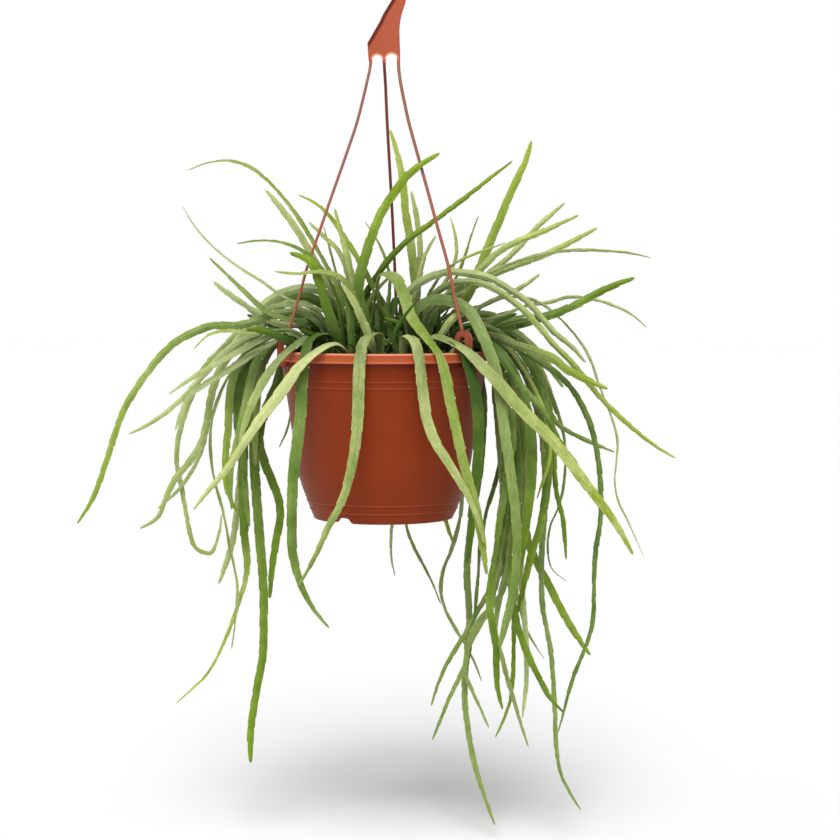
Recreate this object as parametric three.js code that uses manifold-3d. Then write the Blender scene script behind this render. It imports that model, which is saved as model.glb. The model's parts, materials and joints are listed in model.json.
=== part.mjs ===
// A trailing ribbon cactus in a hanging pot: the pot, its clip-on hanger, the soil and the clumps of
// flat notched stems. Millimetres, x to the right, y to the back, z up. Sizes are worked out in a
// frame whose z = 0 is the rim's top; the finished group is lowered so that its origin is the point
// of the hook that the pot hangs from.
import * as THREE from 'three';
import * as BufferGeometryUtils from 'three/addons/utils/BufferGeometryUtils.js';
import Module from 'manifold-3d';

const wasm = await Module();
wasm.setup();

// Pot
const RIM_RADIUS = 85;
const RIM_BAND = 7.7;
const RIM_ROUND = 1.5;
const POT_HEIGHT = 134;
const WALL = 2;
const FOOT_HEIGHT = 5;
const FOOT_INNER_RADIUS = 50;
const POT_SIDES = 40;
const NOTCH = { width: 13, height: 4.5, depth: 20, azimuth: 232.6, count: 3 };
const DRAIN = { radius: 4, ring: 32, count: 4, sides: 8 };
// The outer wall under the rim band, as [radius, z], from the top down to the foot
const OUTER_WALL = [[81.7, -RIM_BAND], [76.6, -42], [67.7, -101], [61.6, -119], [56.6, -132.2]];

// Soil
const SOIL_EDGE_Z = -12;
const SOIL_CROWN_Z = -10;
const SOIL_GAP = 0.4;
const SOIL_SIDES = 20;

// Hanger, with its arms' course as [radius, z] from the plate down to the clips. Each arm starts at
// its own x in the plate, its upper end leans that way by a few millimetres, and its middle may bow.
const ARM_COURSE = [[16, 212], [19, 199], [24, 180], [35, 148], [44, 123], [53, 98], [64.5, 67], [71, 45],
  [77.5, 25], [80.8, 15]];
const ARMS = [
  { azimuth: 202, start: -10.2, lean: 1.8, bow: 0 },
  { azimuth: 319.5, start: 12, lean: 1.3, bow: 1.8 },
  { azimuth: 82, start: 0.8, lean: -0.5, bow: 0.4 },
];
const ARM_LEANS_ABOVE = 110;
const ARM_WIDTH = 2.4;
const ARM_THICKNESS = 2.2;
const ARM_STATIONS = 15;
const ARM_REACH = 2.4;
const CLIP_REACH = 3.2;
const CLIP = { width: 4, leg: 2.8, inner: 3.7, centreZ: 10, innerFoot: -9, toe: 3, rimGap: 0.35 };
const CLIP_ARC_STEPS = 4;
const PLATE_THICKNESS = 3.6;
const PLATE_ARC_STEPS = 7;
const PLATE_FOOT_Z = 229.5;
// The two arches in the plate's foot, between the arms
const ARCHES = [{ x: -4.75, z: 0.6, radius: 4.15 }, { x: 6.6, z: 0.8, radius: 4.9 }];
const HOOK = { centreZ: 315, innerRadius: 13, outerRadius: 21, tipAngle: 210 };

// Stems: a flat back, a midrib in front, and a margin that is notched now left, now right
const STATION_STEP = 17;
const MIDRIB = 1.4;
const BACK = -0.8;
const SLIM_BELOW = 2.5;
const BASE_WIDTH = 5;
const FULL_WIDTH_AT = 45;
const NOTCH_DEPTH = 0.2;
const TIP_BLUNTNESS = 1 / 3;
const TWIST = 60;
const SQUARE_ON_AT = 0.6;
// A stem that passes low over the rim lies flat on it: how many stations and degrees that takes, and
// how low it passes
const FLAT_ON_RIM = { stations: 1.8, mostTurn: 50, below: 22, wholly: 10 };
const COLLAR = { radius: 6, top: -7, bottom: -24, sides: 5, spread: 1.4, root: 2, holeGap: 0.4 };
// How the stems are bent clear of one another and of the pot
const CLEARANCE = 0.5;
const POT_CLEARANCE = 1.15;
const ROUNDS = 90;
const ROUNDS_PER_SEARCH = 10;
const SEARCH_RADIUS = 26;
const ALONG_SIGHT = 0.75;
const POT_PUSH = 0.6;
const STIFF_FOOT = 14;
const FREE_AFTER = 40;
// The point that the stems' courses are drawn from, as they are seen
const EYE = new THREE.Vector3(0, -1700, 57);

const COLOUR = { pot: 0x8f3d24, hanger: 0xa5543a, soil: 0x2a1d14 };
const GREEN = { pale: 0xa9c272, bright: 0x86a94e, mid: 0x6f9a3a, deep: 0x4f7a2a };
const ROUGHNESS = { pot: 0.55, hanger: 0.5, soil: 0.95, stems: 0.5 };

// A stem: its full width, its turn about its own course in degrees (0 shows its broad side), how far
// from the tip it starts to narrow, its depths behind the pot's axis, spread evenly along its route,
// and the route as seen: pairs of x and z on the upright plane through the axis.
const stem = (width, turn, taper, depths, ...route) => ({ width, turn, taper, depths, route });

// Stems that hang or stand before the pot, by the clump's place in the soil
const FRONT = [
  { at: [-24, -56], stems: [
    stem(10, 0, 110, [-62, -72, -82, -86, -84], -33, 3, -43, 0, -54, -9, -64, -15, -76, -27,
      -99, -55, -125, -94, -143, -115, -153, -128),
    stem(8, 12, 16, [-56, -54, -50], -25, 2, -26, 20, -28, 38, -32, 52)] },
  { at: [-3, -60], stems: [
    stem(10, 0, 140, [-66, -86, -96, -98, -94], -3, 9, -9, 7, -14, -5, -17, -19, -20, -50, -25, -89,
      -34, -122, -42, -136, -56, -167, -69, -190),
    stem(8, 0, 16, [-60, -56, -52], -9, 3, -13, 14, -19, 28, -26, 42, -33, 53)] },
  { at: [15, -59], stems: [
    stem(9.5, 0, 90, [-63, -88, -98, -100, -98], 16, 8, 23, -6, 27, -22, 34, -55, 39, -69, 47, -82,
      62, -107, 70, -122, 77, -140, 81, -156),
    stem(5, 20, 20, [-60, -56], 8, 6, 11, 17, 17, 28, 25, 38)] },
  { at: [37, -47], stems: [
    stem(10.5, 0, 70, [-52, -66, -78, -82, -80], 38, 9, 47, 4, 61, -3, 77, -15, 93, -28, 109, -46,
      137, -74, 163, -108, 187, -140, 201, -165),
    stem(8, 25, 22, [-48, -46, -40], 42, 6, 48, 15, 55, 25, 63, 31, 76, 33),
    stem(10, 0, 40, [-54, -66, -68, -64], 53, 5, 64, -8, 71, -26, 75, -45, 76, -80, 73, -112,
      70, -145, 67, -172)] },
];

// Stems that stand up and lean out over the pot
const UPRIGHT = [
  { at: [-8, -38], stems: [
    stem(9, 0, 30, [-38, -34, -30, -26], -16, 30, -20, 46, -18, 63, -10, 89, -3, 107, 9, 126,
      22, 142, 38, 153, 45, 157),
    stem(7, 20, 25, [-34, -28, -24], -16, 26, -24, 53, -29, 76, -36, 102, -39, 113)] },
  { at: [-28, -33], stems: [
    stem(9, 0, 18, [-40, -40, -38], -36, 8, -44, 30, -50, 50, -58, 70, -66, 75, -75, 78),
    stem(6, 30, 40, [-44, -46, -44, -42], -20, 30, -26, 47, -36, 59, -50, 63, -64, 61, -87, 63),
    stem(5, 50, 40, [-32, -32, -28], -40, 50, -50, 66, -62, 78, -85, 87, -105, 87, -117, 85)] },
  { at: [-10, -16], stems: [
    stem(10, 0, 40, [-20, -30, -44, -72, -90, -94, -93, -92], -8, 30, -4, 55, 2, 65, 9, 58, 16, 45,
      23, 24, 30, 11, 36, -5, 44, -19, 55, -50, 62, -82, 66, -98, 75, -131, 83, -181),
    stem(5.5, 10, 18, [-14, -8, -4], -26, 50, -34, 76, -41, 85, -49, 92, -60, 102)] },
  { at: [10, -17], stems: [
    stem(6, 20, 40, [-18, -14, -8, -2], 4, 22, 0, 36, -9, 52, -19, 71, -26, 82, -39, 102, -51, 115,
      -68, 124),
    stem(6, 15, 30, [-14, -8], 22, 30, 28, 55, 33, 76, 42, 92)] },
  { at: [-21, -2], stems: [
    stem(6, 20, 50, [-8, -16, -20, -16, -10], -20, 30, -17, 41, -10, 52, 2, 70, 16, 85, 33, 98,
      59, 117, 86, 138, 103, 151),
    stem(5, 40, 50, [-6, -4, 0, 2], -34, 45, -46, 68, -53, 81, -65, 102, -81, 123, -100, 142,
      -117, 150, -140, 149, -156, 143),
    stem(4, 40, 40, [2, 8], -30, 34, -39, 66, -42, 78, -48, 100)] },
  { at: [18, 1], stems: [
    stem(8, 0, 40, [2, 4, 6], 26, 44, 25, 57, 21, 90, 18, 106, 15, 138, 8, 167, 5, 176),
    stem(6.5, 15, 20, [8, 14], 26, 40, 29, 74, 28, 97, 22, 127),
    stem(8.5, 0, 30, [2, 6, 6, 4], 50, 20, 58, 30, 70, 49, 75, 61, 84, 84, 92, 103, 102, 127,
      112, 148, 118, 167)] },
  { at: [0, 1], stems: [
    stem(4, 30, 40, [4, 8, 12], 3, 30, 5, 56, -2, 82, -15, 103),
    stem(7, 60, 25, [2, 0], 0, 12, -3, 30, -6, 44)] },
  { at: [11, 19], stems: [
    stem(6.5, 20, 25, [20, 22, 24], 30, 22, 60, 40, 80, 58, 102, 76, 119, 95, 131, 106, 145, 118),
    stem(5, 30, 30, [22, 26], 26, 30, 46, 50, 58, 76, 56, 97, 53, 107),
    stem(4, 30, 40, [16, 14], 30, 26, 50, 44, 62, 67, 69, 89, 76, 108)] },
  { at: [-11, 18], stems: [
    stem(7, 20, 25, [16, 12], -16, 16, -12, 34, -3, 52, 6, 60),
    stem(7.5, 5, 20, [20, 22], -26, 34, -44, 52, -60, 81, -71, 99, -87, 120, -94, 128)] },
];

// Stems that arch out to the left of the pot
const LEFT = [
  { at: [-41, -43], stems: [
    stem(10, 0, 50, [-48, -68, -76, -76, -72, -70], -41, 8, -48, 7, -54, -3, -58, -20, -64, -45,
      -67, -60, -72, -95, -74, -135, -73, -165, -67, -188, -59, -205, -44, -224),
    stem(9, 10, 40, [-46, -50, -56, -58], -46, 13, -56, 12, -67, 6, -77, -1, -84, -8, -94, -21,
      -101, -33, -110, -55, -116, -79)] },
  { at: [-53, -24], stems: [
    stem(9.5, 0, 14, [-30, -42, -46, -40], -58, -2, -66, 2, -72, 5, -79, 9, -88, 13, -97, 16,
      -110, 17),
    stem(5, 50, 30, [-34, -44, -46], -66, 14, -84, 16, -110, 14, -131, 16, -147, 7, -152, 1),
    stem(6, 20, 30, [-30, -36, -36], -68, 12, -84, 14, -110, 2, -125, -6, -147, -18, -172, -35),
    stem(7, 20, 30, [-26, -32, -30, -26], -72, 8, -88, 6, -106, -4, -122, -14, -138, -24, -155, -36,
      -167, -64)] },
  { at: [-61, -6], stems: [
    stem(8, 10, 35, [-14, -16, -10], -80, 10, -92, 3, -103, -12, -107, -28, -112, -50, -117, -72,
      -123, -98, -122, -128),
    stem(6, 15, 40, [-8, -20, -24, -22], -78, 14, -100, 14, -118, 6, -129, -3, -139, -14, -150, -26,
      -167, -44, -190, -60, -204, -67)] },
  { at: [-60, 11], stems: [
    stem(8, 10, 35, [8, 2, 2], -80, 12, -100, 4, -112, -6, -119, -18, -123, -35, -124, -55,
      -127, -95, -124, -118, -118, -130),
    stem(8, 15, 35, [14, 12, 14], -80, 8, -96, 2, -108, -10, -114, -22, -117, -40, -117, -60,
      -113, -85, -111, -112, -108, -142)] },
  { at: [-52, 27], stems: [
    stem(9, 0, 25, [30, 30, 26, 24], -76, 6, -92, 0, -101, -16, -105, -40, -105, -70, -102, -120,
      -100, -148, -97, -191, -97, -220, -98, -248, -103, -274, -108, -310, -108, -334),
    stem(7, 0, 20, [24, 20], -74, 4, -88, 0, -97, -16, -101, -40, -103, -70, -103, -93)] },
  { at: [-40, 42], stems: [
    stem(9, 10, 35, [48, 50, 46, 40], -68, 2, -78, -8, -84, -25, -90, -38, -97, -54, -100, -70,
      -95, -92, -86, -114, -83, -130, -87, -155, -90, -175, -92, -200),
    stem(4, 30, 30, [48, 62, 66, 62], -44, 22, -56, 10, -66, -6, -71, -30, -75, -55, -78, -65,
      -84, -78)] },
  { at: [-38, -8], stems: [
    stem(7, 10, 40, [-14, -22, -26, -22], -58, 24, -78, 31, -97, 25, -115, 20, -135, 20, -155, 13,
      -172, 2, -192, -22, -208, -48, -220, -82, -233, -118, -246, -139),
    stem(6, 30, 35, [-16, -24, -28], -52, 22, -70, 24, -89, 29, -105, 41, -122, 58, -132, 67,
      -139, 74)] },
  { at: [-40, 9], stems: [
    stem(7, 10, 16, [4, -4, -8], -56, 20, -75, 20, -88, 22, -101, 30, -119, 42, -136, 55),
    stem(7.5, 5, 50, [2, -6, -6, -2], -62, 26, -80, 30, -98, 22, -112, 8, -124, -4, -131, -16,
      -138, -36, -142, -60, -150, -82, -160, -94, -168, -104, -176, -121, -184, -137, -196, -143),
    stem(5, 30, 40, [6, 2, 0], -60, 30, -76, 36, -92, 33, -105, 25, -120, 12, -133, -2, -146, -18,
      -156, -34)] },
  { at: [-29, 27], stems: [
    stem(3.6, 40, 50, [14, 6, 0], -44, 32, -60, 34, -83, 45, -100, 57, -122, 71, -141, 88,
      -156, 107, -160, 115),
    stem(5.5, 15, 40, [22, 14, 10, 10], -60, 36, -78, 38, -98, 28, -112, 16, -128, 2, -141, -10,
      -150, -28, -158, -48, -164, -68, -166, -90, -161, -115, -157, -141, -152, -157, -145, -166,
      -137, -160, -132, -145, -130, -131),
    stem(5, 60, 60, [20, 26, 22, 16], -62, 24, -84, 22, -102, 8, -118, -12, -130, -32, -137, -54,
      -139, -82, -135, -106, -129, -130, -123, -162, -118, -190, -120, -220, -123, -241),
    stem(5.5, 20, 40, [18, 8, 6], -58, 30, -84, 30, -108, 18, -122, 2, -134, -22, -140, -50,
      -146, -80, -156, -100, -166, -113, -182, -127)] },
  { at: [-20, 42], stems: [
    stem(8, 5, 30, [38, 42, 44, 40], -38, 38, -55, 49, -73, 48, -88, 42, -99, 32, -107, 16,
      -111, -10, -112, -40, -113, -75, -116, -110, -122, -155, -133, -188),
    stem(9, 10, 70, [34, 34, 32, 30, 26], -45, 34, -58, 42, -70, 42, -81, 37, -93, 27, -103, 10,
      -108, -15, -110, -45, -112, -80, -113, -110, -112, -148, -110, -176, -118, -206, -132, -242,
      -142, -260, -157, -275, -168, -285)] },
];

// Stems that arch out to the right of the pot
const RIGHT = [
  { at: [53, -30], stems: [
    stem(7, 10, 30, [-42, -56, -62, -60], 72, 12, 84, 5, 94, -6, 104, -20, 118, -38, 130, -52,
      136, -64, 139, -82),
    stem(9.5, 0, 40, [-36, -46, -48, -46, -42], 74, 8, 88, 2, 100, -12, 110, -34, 117, -58,
      119, -80, 119, -102, 116, -128, 113, -150, 107, -190),
    stem(8, 10, 40, [-38, -42, -40], 72, 4, 84, -4, 95, -26, 102, -50, 103, -78, 100, -97, 93, -138,
      88, -180)] },
  { at: [61, -14], stems: [
    stem(9, 10, 22, [-30, -38, -40], 78, 12, 98, 7, 110, 2, 130, -3, 143, -13, 157, -21, 180, -31),
    stem(8, 0, 40, [-26, -32, -32, -28], 76, 8, 88, -4, 94, -26, 97, -50, 98, -85, 97, -120,
      94, -150, 88, -178, 85, -200, 87, -218, 91, -245, 91, -268, 96, -291),
    stem(9, 20, 50, [-18, -22, -22, -18], 78, 8, 92, -8, 101, -38, 106, -72, 107, -110, 105, -150,
      103, -185, 106, -215, 113, -238, 127, -268, 137, -285, 146, -294)] },
  { at: [63, 4], stems: [
    stem(8, 10, 40, [-8, -16, -18, -16], 82, 10, 96, -6, 106, -22, 112, -42, 113, -62, 111, -85,
      107, -105, 102, -128, 98, -155, 96, -180),
    stem(7, 20, 40, [2, -4, -6, -4], 84, 8, 98, -6, 110, -32, 116, -70, 116, -110, 112, -150,
      110, -180, 113, -210, 115, -240, 115, -270, 112, -298),
    stem(8.5, 10, 40, [0, -12, -14, -12], 86, 14, 104, 6, 120, -14, 128, -40, 132, -70, 132, -100,
      129, -125, 124, -150, 118, -167, 113, -190, 107, -214)] },
  { at: [59, 21], stems: [
    stem(8, 0, 25, [18, 16, 12, 8], 70, 14, 88, 20, 104, 15, 118, 4, 132, -12, 144, -30),
    stem(6, 10, 50, [14, 10, 8, 6], 78, 4, 90, -14, 96, -48, 101, -92, 103, -140, 101, -172,
      95, -196, 84, -210, 74, -222, 67, -240, 65, -256, 56, -274, 48, -293, 39, -316),
    stem(6, 20, 50, [24, 22, 20], 80, 6, 92, -8, 99, -30, 103, -62, 104, -100, 102, -140, 98, -175,
      92, -205, 90, -225, 95, -247, 104, -280, 117, -322)] },
  { at: [50, 37], stems: [
    stem(6, 0, 50, [34, 32, 30, 24], 72, 2, 86, -12, 94, -40, 98, -75, 100, -110, 99, -145,
      96, -174, 90, -186, 78, -206, 65, -230, 52, -251, 44, -269, 38, -288),
    stem(5, 10, 30, [30, 26, 22, 20], 70, 0, 84, -16, 90, -50, 94, -95, 96, -140, 93, -180,
      84, -212, 70, -236, 65, -254, 70, -272, 78, -290, 85, -306),
    stem(6, 30, 60, [38, 44, 42, 36], 76, 4, 92, -8, 104, -40, 110, -85, 109, -125, 106, -165,
      105, -200, 105, -235, 104, -265, 101, -288, 90, -314),
    stem(6, 50, 40, [40, 46, 36, 22], 74, 4, 88, -12, 96, -45, 95, -80, 90, -105, 84, -125,
      80, -142, 77, -165, 75, -195, 72, -225, 69, -250)] },
  { at: [37, 49], stems: [
    stem(8, 10, 30, [50, 48, 40, 34], 52, 18, 72, 28, 90, 26, 108, 12, 121, -8, 132, -30, 139, -52),
    stem(7, 10, 60, [56, 54, 40, 28, 20], 62, 2, 76, -14, 80, -50, 77, -95, 72, -130, 68, -160,
      67, -185, 69, -215, 67, -245, 65, -275, 67, -300, 72, -330, 80, -358, 90, -386),
    stem(5, 40, 60, [58, 60, 56], 66, 0, 84, -18, 97, -50, 105, -95, 107, -140, 106, -180,
      109, -205, 113, -220, 120, -235, 130, -250)] },
  { at: [41, -14], stems: [
    stem(6, 10, 60, [-16, -26, -32, -34, -30], 34, 30, 42, 46, 59, 54, 76, 54, 91, 48, 106, 37,
      122, 22, 135, 6, 150, -9, 174, -38, 186, -50, 214, -74, 235, -87),
    stem(5.5, 20, 50, [-22, -28, -26, -22, -20], 62, 18, 78, 20, 95, 12, 108, 2, 122, -7, 138, -18,
      151, -31, 160, -46, 167, -63, 171, -79, 175, -119, 174, -140, 170, -170, 169, -215, 165, -235,
      154, -262, 141, -310),
    stem(5, 30, 30, [-20, -22, -24], 66, 14, 90, 8, 108, -10, 122, -34, 131, -58, 134, -80,
      131, -95, 123, -120),
    stem(5.5, 20, 16, [-14, -12, -8], 48, 16, 66, 28, 80, 36, 92, 42, 108, 49, 125, 61)] },
  { at: [42, 6], stems: [
    stem(8.5, 0, 22, [-2, -14, -14, -6], 60, 12, 77, 17, 95, 18, 112, 22, 128, 27, 145, 32, 160, 40,
      180, 50, 201, 58),
    stem(6, 15, 30, [0, -4, -4], 64, 16, 84, 16, 104, 6, 120, -12, 130, -36, 136, -62, 137, -90,
      139, -115, 144, -135, 147, -169),
    stem(5, 20, 40, [8, 2, 0], 66, 20, 88, 14, 104, 4, 118, -10, 128, -30, 134, -54, 140, -70,
      156, -91)] },
  { at: [37, 24], stems: [
    stem(6, 15, 30, [18, 14, 14], 62, 16, 80, 14, 98, 4, 112, -14, 125, -37, 135, -52, 143, -62,
      160, -71, 186, -82),
    stem(6, 20, 70, [22, 18, 18, 16], 60, 12, 78, 8, 94, 0, 110, -16, 122, -44, 128, -78, 130, -110,
      129, -140, 127, -168, 128, -205, 135, -245, 138, -285, 140, -325, 145, -348, 160, -374)] },
  { at: [25, 37], stems: [
    stem(4.5, 50, 50, [30, 28, 30], 56, 18, 84, 16, 108, 4, 126, -18, 138, -44, 145, -72, 146, -95,
      144, -112, 141, -125, 134, -142, 132, -160, 135, -175, 148, -187),
    stem(9, 0, 30, [34, 38, 40, 36], 54, 12, 74, 8, 92, -4, 104, -26, 109, -52, 111, -80, 111, -110,
      113, -140, 119, -162, 132, -187, 144, -211, 154, -228, 167, -247),
    stem(4.5, 30, 50, [32, 34, 34], 56, 26, 78, 24, 95, 28, 115, 36, 131, 38, 152, 43, 174, 39,
      195, 31, 211, 18)] },
  { at: [27, 14], stems: [
    stem(3.6, 50, 50, [10, 8, 6], 50, 28, 72, 34, 85, 39, 98, 42, 116, 42, 136, 30, 152, 14,
      165, -6, 175, -34, 187, -66, 188, -79, 186, -99, 187, -116, 194, -132, 210, -167),
    stem(7, 10, 25, [14, 14], 40, 32, 62, 46, 80, 56, 100, 66, 118, 72, 141, 82, 171, 98)] },
  { at: [25, -28], stems: [
    stem(9.5, 0, 24, [-36, -52, -64, -66, -62, -56, -52], 24, 30, 33, 38, 43, 39, 54, 38, 64, 33,
      73, 22, 81, 6, 88, -10, 93, -34, 98, -72, 101, -92, 106, -132, 107, -167, 103, -200, 93, -241),
    stem(7, 10, 30, [-26, -24, -22, -20, -18], 18, 30, 20, 46, 32, 56, 48, 62, 59, 62, 70, 61,
      81, 59, 100, 49, 118, 36, 128, 24, 137, 14, 154, 0, 162, -10),
    stem(4.5, 40, 50, [-24, -20, -14, -8], 38, 34, 50, 44, 66, 54, 82, 61, 98, 68, 120, 75, 141, 79,
      168, 80, 201, 77, 214, 74)] },
  { at: [30, -5], stems: [
    stem(7, 10, 30, [-6, -6, 0], 46, 38, 62, 50, 75, 62, 87, 75, 107, 87, 125, 94, 156, 108),
    stem(4, 40, 30, [-14, -12], 36, 44, 52, 66, 68, 75, 98, 86)] },
];

// Stems on the side away from the viewer that show under or beside the pot
const BACK_SEEN = [
  { at: [6, 60], stems: [
    stem(4.5, 40, 30, [74, 98, 100, 98], 5, 18, 6, 8, 7, -30, 7, -90, 7, -141, 5, -158, 9, -182),
    stem(5, 30, 50, [76, 100, 102, 98], 14, 16, 17, 6, 17, -40, 16, -100, 18, -141, 27, -164,
      38, -185, 46, -205)] },
  { at: [22, 54], stems: [
    stem(6, 10, 25, [72, 90, 92, 88], 32, 14, 40, 2, 44, -40, 46, -90, 49, -134, 57, -158),
    stem(5.5, 40, 50, [68, 84, 84, 70, 60], 38, 12, 50, 2, 58, -22, 62, -60, 62, -100, 62, -130,
      57, -153, 47, -180, 46, -192, 48, -205, 60, -229, 71, -247, 79, -268)] },
];

// Stems over the back of the rim: the clumps' places, how many hang from each, the degrees between
// them and for each mm that the clump lies off the axis, and the least and greatest of what varies
const BACK_CLUMPS = [[-10, 60], [-25, 55], [-5, 38], [10, 39]];
const BACK_STEMS = { each: 3, fan: 13, spread: 0.7, taper: 30, width: [7, 9], rise: [14, 36],
  drop: [-20, -115] };
const INNER_CLUMP = { within: 50, rise: 16 };
const GOLDEN = 0.618034;

const radians = THREE.MathUtils.degToRad;

// Builds the routes of the back stems: each leaves at its own azimuth and hangs to its own depth.
function backClumps() {
  let count = 0;
  return BACK_CLUMPS.map((at) => {
    const stems = [];
    for (let k = 0; k < BACK_STEMS.each; k += 1) {
      const share = (count * GOLDEN) % 1;
      const azimuth = radians(90 - at[0] * BACK_STEMS.spread + (k - 1) * BACK_STEMS.fan);
      const inner = Math.hypot(...at) < INNER_CLUMP.within ? INNER_CLUMP.rise : 0;
      const rise = valueAlong(BACK_STEMS.rise, share) + inner;
      const drop = valueAlong(BACK_STEMS.drop, share);
      const course = [[70, rise], [88, rise * 0.6], [102, -14], [106, drop * 0.55], [104, drop]];
      const depths = course.map(([radius]) => radius * Math.sin(azimuth));
      const route = course.flatMap(([radius, z]) => [radius * Math.cos(azimuth), z]);
      stems.push(stem(valueAlong(BACK_STEMS.width, share), 0, BACK_STEMS.taper, depths, ...route));
      count += 1;
    }
    return { at, stems };
  });
}

const inGreen = (clumps, colour) => clumps.map((clump) => ({ ...clump, colour }));
const CLUMPS = [
  ...inGreen(FRONT, GREEN.pale),
  ...inGreen(UPRIGHT, GREEN.bright),
  ...inGreen(LEFT, GREEN.mid),
  ...inGreen([...RIGHT, ...BACK_SEEN, ...backClumps()], GREEN.deep),
];

// Makes a solid of a closed mesh, whichever way its faces were wound.
function solidOf(geometry) {
  const plain = geometry.index ? geometry.toNonIndexed() : geometry.clone();
  plain.deleteAttribute('normal');
  plain.deleteAttribute('uv');
  const merged = BufferGeometryUtils.mergeVertices(plain, 1e-3);
  const vertProperties = new Float32Array(merged.attributes.position.array);
  const corner = (k) => new THREE.Vector3().fromArray(vertProperties, 3 * k);
  const triVerts = [];
  let volume = 0;
  for (let k = 0; k < merged.index.count; k += 3) {
    const [a, b, c] = [0, 1, 2].map((j) => merged.index.getX(k + j));
    if (a === b || b === c || c === a) continue;
    triVerts.push(a, b, c);
    volume += corner(a).dot(corner(b).cross(corner(c)));
  }
  if (volume < 0) triVerts.reverse();
  const mesh = new wasm.Mesh({ numProp: 3, vertProperties, triVerts: new Uint32Array(triVerts) });
  return new wasm.Manifold(mesh);
}

// Keeps a solid's outer body: sealed hollows are filled and loose scraps dropped.
function outerBody(solid) {
  return solid.decompose().sort((a, b) => b.volume() - a.volume())[0];
}

function meshOf(name, solid, colour, roughness) {
  const body = solid.getMesh();
  const geometry = new THREE.BufferGeometry();
  geometry.setAttribute('position', new THREE.BufferAttribute(new Float32Array(body.vertProperties), 3));
  geometry.setIndex(new THREE.BufferAttribute(new Uint32Array(body.triVerts), 1));
  geometry.computeVertexNormals();
  const material = new THREE.MeshStandardMaterial({ color: colour, roughness, metalness: 0 });
  const mesh = new THREE.Mesh(geometry, material);
  mesh.name = name;
  return mesh;
}

// Spins a profile of [radius, z] points about the z axis.
function turned(profile, sides) {
  const points = profile.map(([radius, z]) => new THREE.Vector2(radius, z));
  return solidOf(new THREE.LatheGeometry(points, sides).rotateX(Math.PI / 2));
}

// Closes a tube of sections: rings of as many points each, the last of which may be one point.
function loftOf(rings) {
  const positions = [];
  const sides = rings[0].length;
  const corner = (ring, k) => ring[k % ring.length];
  for (let k = 0; k + 1 < rings.length; k += 1) {
    for (let j = 0; j < sides; j += 1) {
      const [a, b] = [corner(rings[k], j), corner(rings[k], j + 1)];
      const [c, d] = [corner(rings[k + 1], j), corner(rings[k + 1], j + 1)];
      positions.push(a, b, d);
      if (rings[k + 1].length > 1) positions.push(a, d, c);
    }
  }
  for (const [ring, flip] of [[rings[0], true], [rings[rings.length - 1], false]]) {
    for (let j = 1; j + 1 < ring.length; j += 1) {
      positions.push(...(flip ? [ring[0], ring[j + 1], ring[j]] : [ring[0], ring[j], ring[j + 1]]));
    }
  }
  return new THREE.BufferGeometry().setFromPoints(positions);
}

function potSolid() {
  const rimInner = OUTER_WALL[0][0] - WALL;
  const floorZ = FOOT_HEIGHT - POT_HEIGHT;
  const footWall = OUTER_WALL[OUTER_WALL.length - 1];
  const inner = OUTER_WALL.slice(0, -1).map(([radius, z]) => [radius - WALL, z]);
  const profile = [
    [0, floorZ], [FOOT_INNER_RADIUS - 0.5, floorZ], [FOOT_INNER_RADIUS, -POT_HEIGHT],
    [footWall[0] - RIM_ROUND, -POT_HEIGHT], ...OUTER_WALL.toReversed(),
    [RIM_RADIUS, -RIM_BAND], [RIM_RADIUS, -RIM_ROUND], [RIM_RADIUS - RIM_ROUND, 0],
    [rimInner + RIM_ROUND, 0], [rimInner, -RIM_ROUND], ...inner,
    [footWall[0] - WALL, floorZ + WALL + 1], [footWall[0] - WALL - 1, floorZ + WALL], [0, floorZ + WALL],
  ];
  let pot = turned(profile, POT_SIDES);
  for (let k = 0; k < NOTCH.count; k += 1) {
    const box = new THREE.BoxGeometry(NOTCH.depth, NOTCH.width, 2 * NOTCH.height);
    box.translate(footWall[0], 0, -POT_HEIGHT);
    box.rotateZ(radians(NOTCH.azimuth) + k * 2 * Math.PI / NOTCH.count);
    pot = pot.subtract(solidOf(box));
  }
  for (let k = 0; k < DRAIN.count; k += 1) {
    const hole = new THREE.CylinderGeometry(DRAIN.radius, DRAIN.radius, 4 * WALL, DRAIN.sides);
    hole.rotateX(Math.PI / 2);
    hole.translate(DRAIN.ring, 0, floorZ).rotateZ((k + 0.5) * 2 * Math.PI / DRAIN.count);
    pot = pot.subtract(solidOf(hole));
  }
  return pot;
}

function soilSolid() {
  const floorZ = FOOT_HEIGHT - POT_HEIGHT + WALL + SOIL_GAP;
  const side = OUTER_WALL.slice(1, -1).toReversed().map(([radius, z]) => [radius - WALL - SOIL_GAP, z]);
  const footRadius = OUTER_WALL[OUTER_WALL.length - 1][0] - WALL - 1 - SOIL_GAP;
  const topRadius = potRadius(SOIL_EDGE_Z) - WALL - SOIL_GAP;
  let soil = turned([
    [0, floorZ], [footRadius - 1, floorZ], [footRadius, floorZ + 2], ...side,
    [topRadius, SOIL_EDGE_Z - 1], [topRadius - 1, SOIL_EDGE_Z], [0, SOIL_CROWN_Z],
  ], SOIL_SIDES);
  for (const { at } of CLUMPS) soil = soil.subtract(collarSolid(at, COLLAR.holeGap));
  return soil;
}

// The woody foot that a clump's stems grow from; grown by a gap, it is the hole that it stands in.
function collarSolid([x, y], gap = 0) {
  const radius = COLLAR.radius + gap;
  const top = gap ? 0 : COLLAR.top;
  const height = top - COLLAR.bottom + gap;
  const foot = new THREE.CylinderGeometry(radius, radius, height, COLLAR.sides).rotateX(Math.PI / 2);
  return solidOf(foot.translate(x, y, top - height / 2));
}

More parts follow.
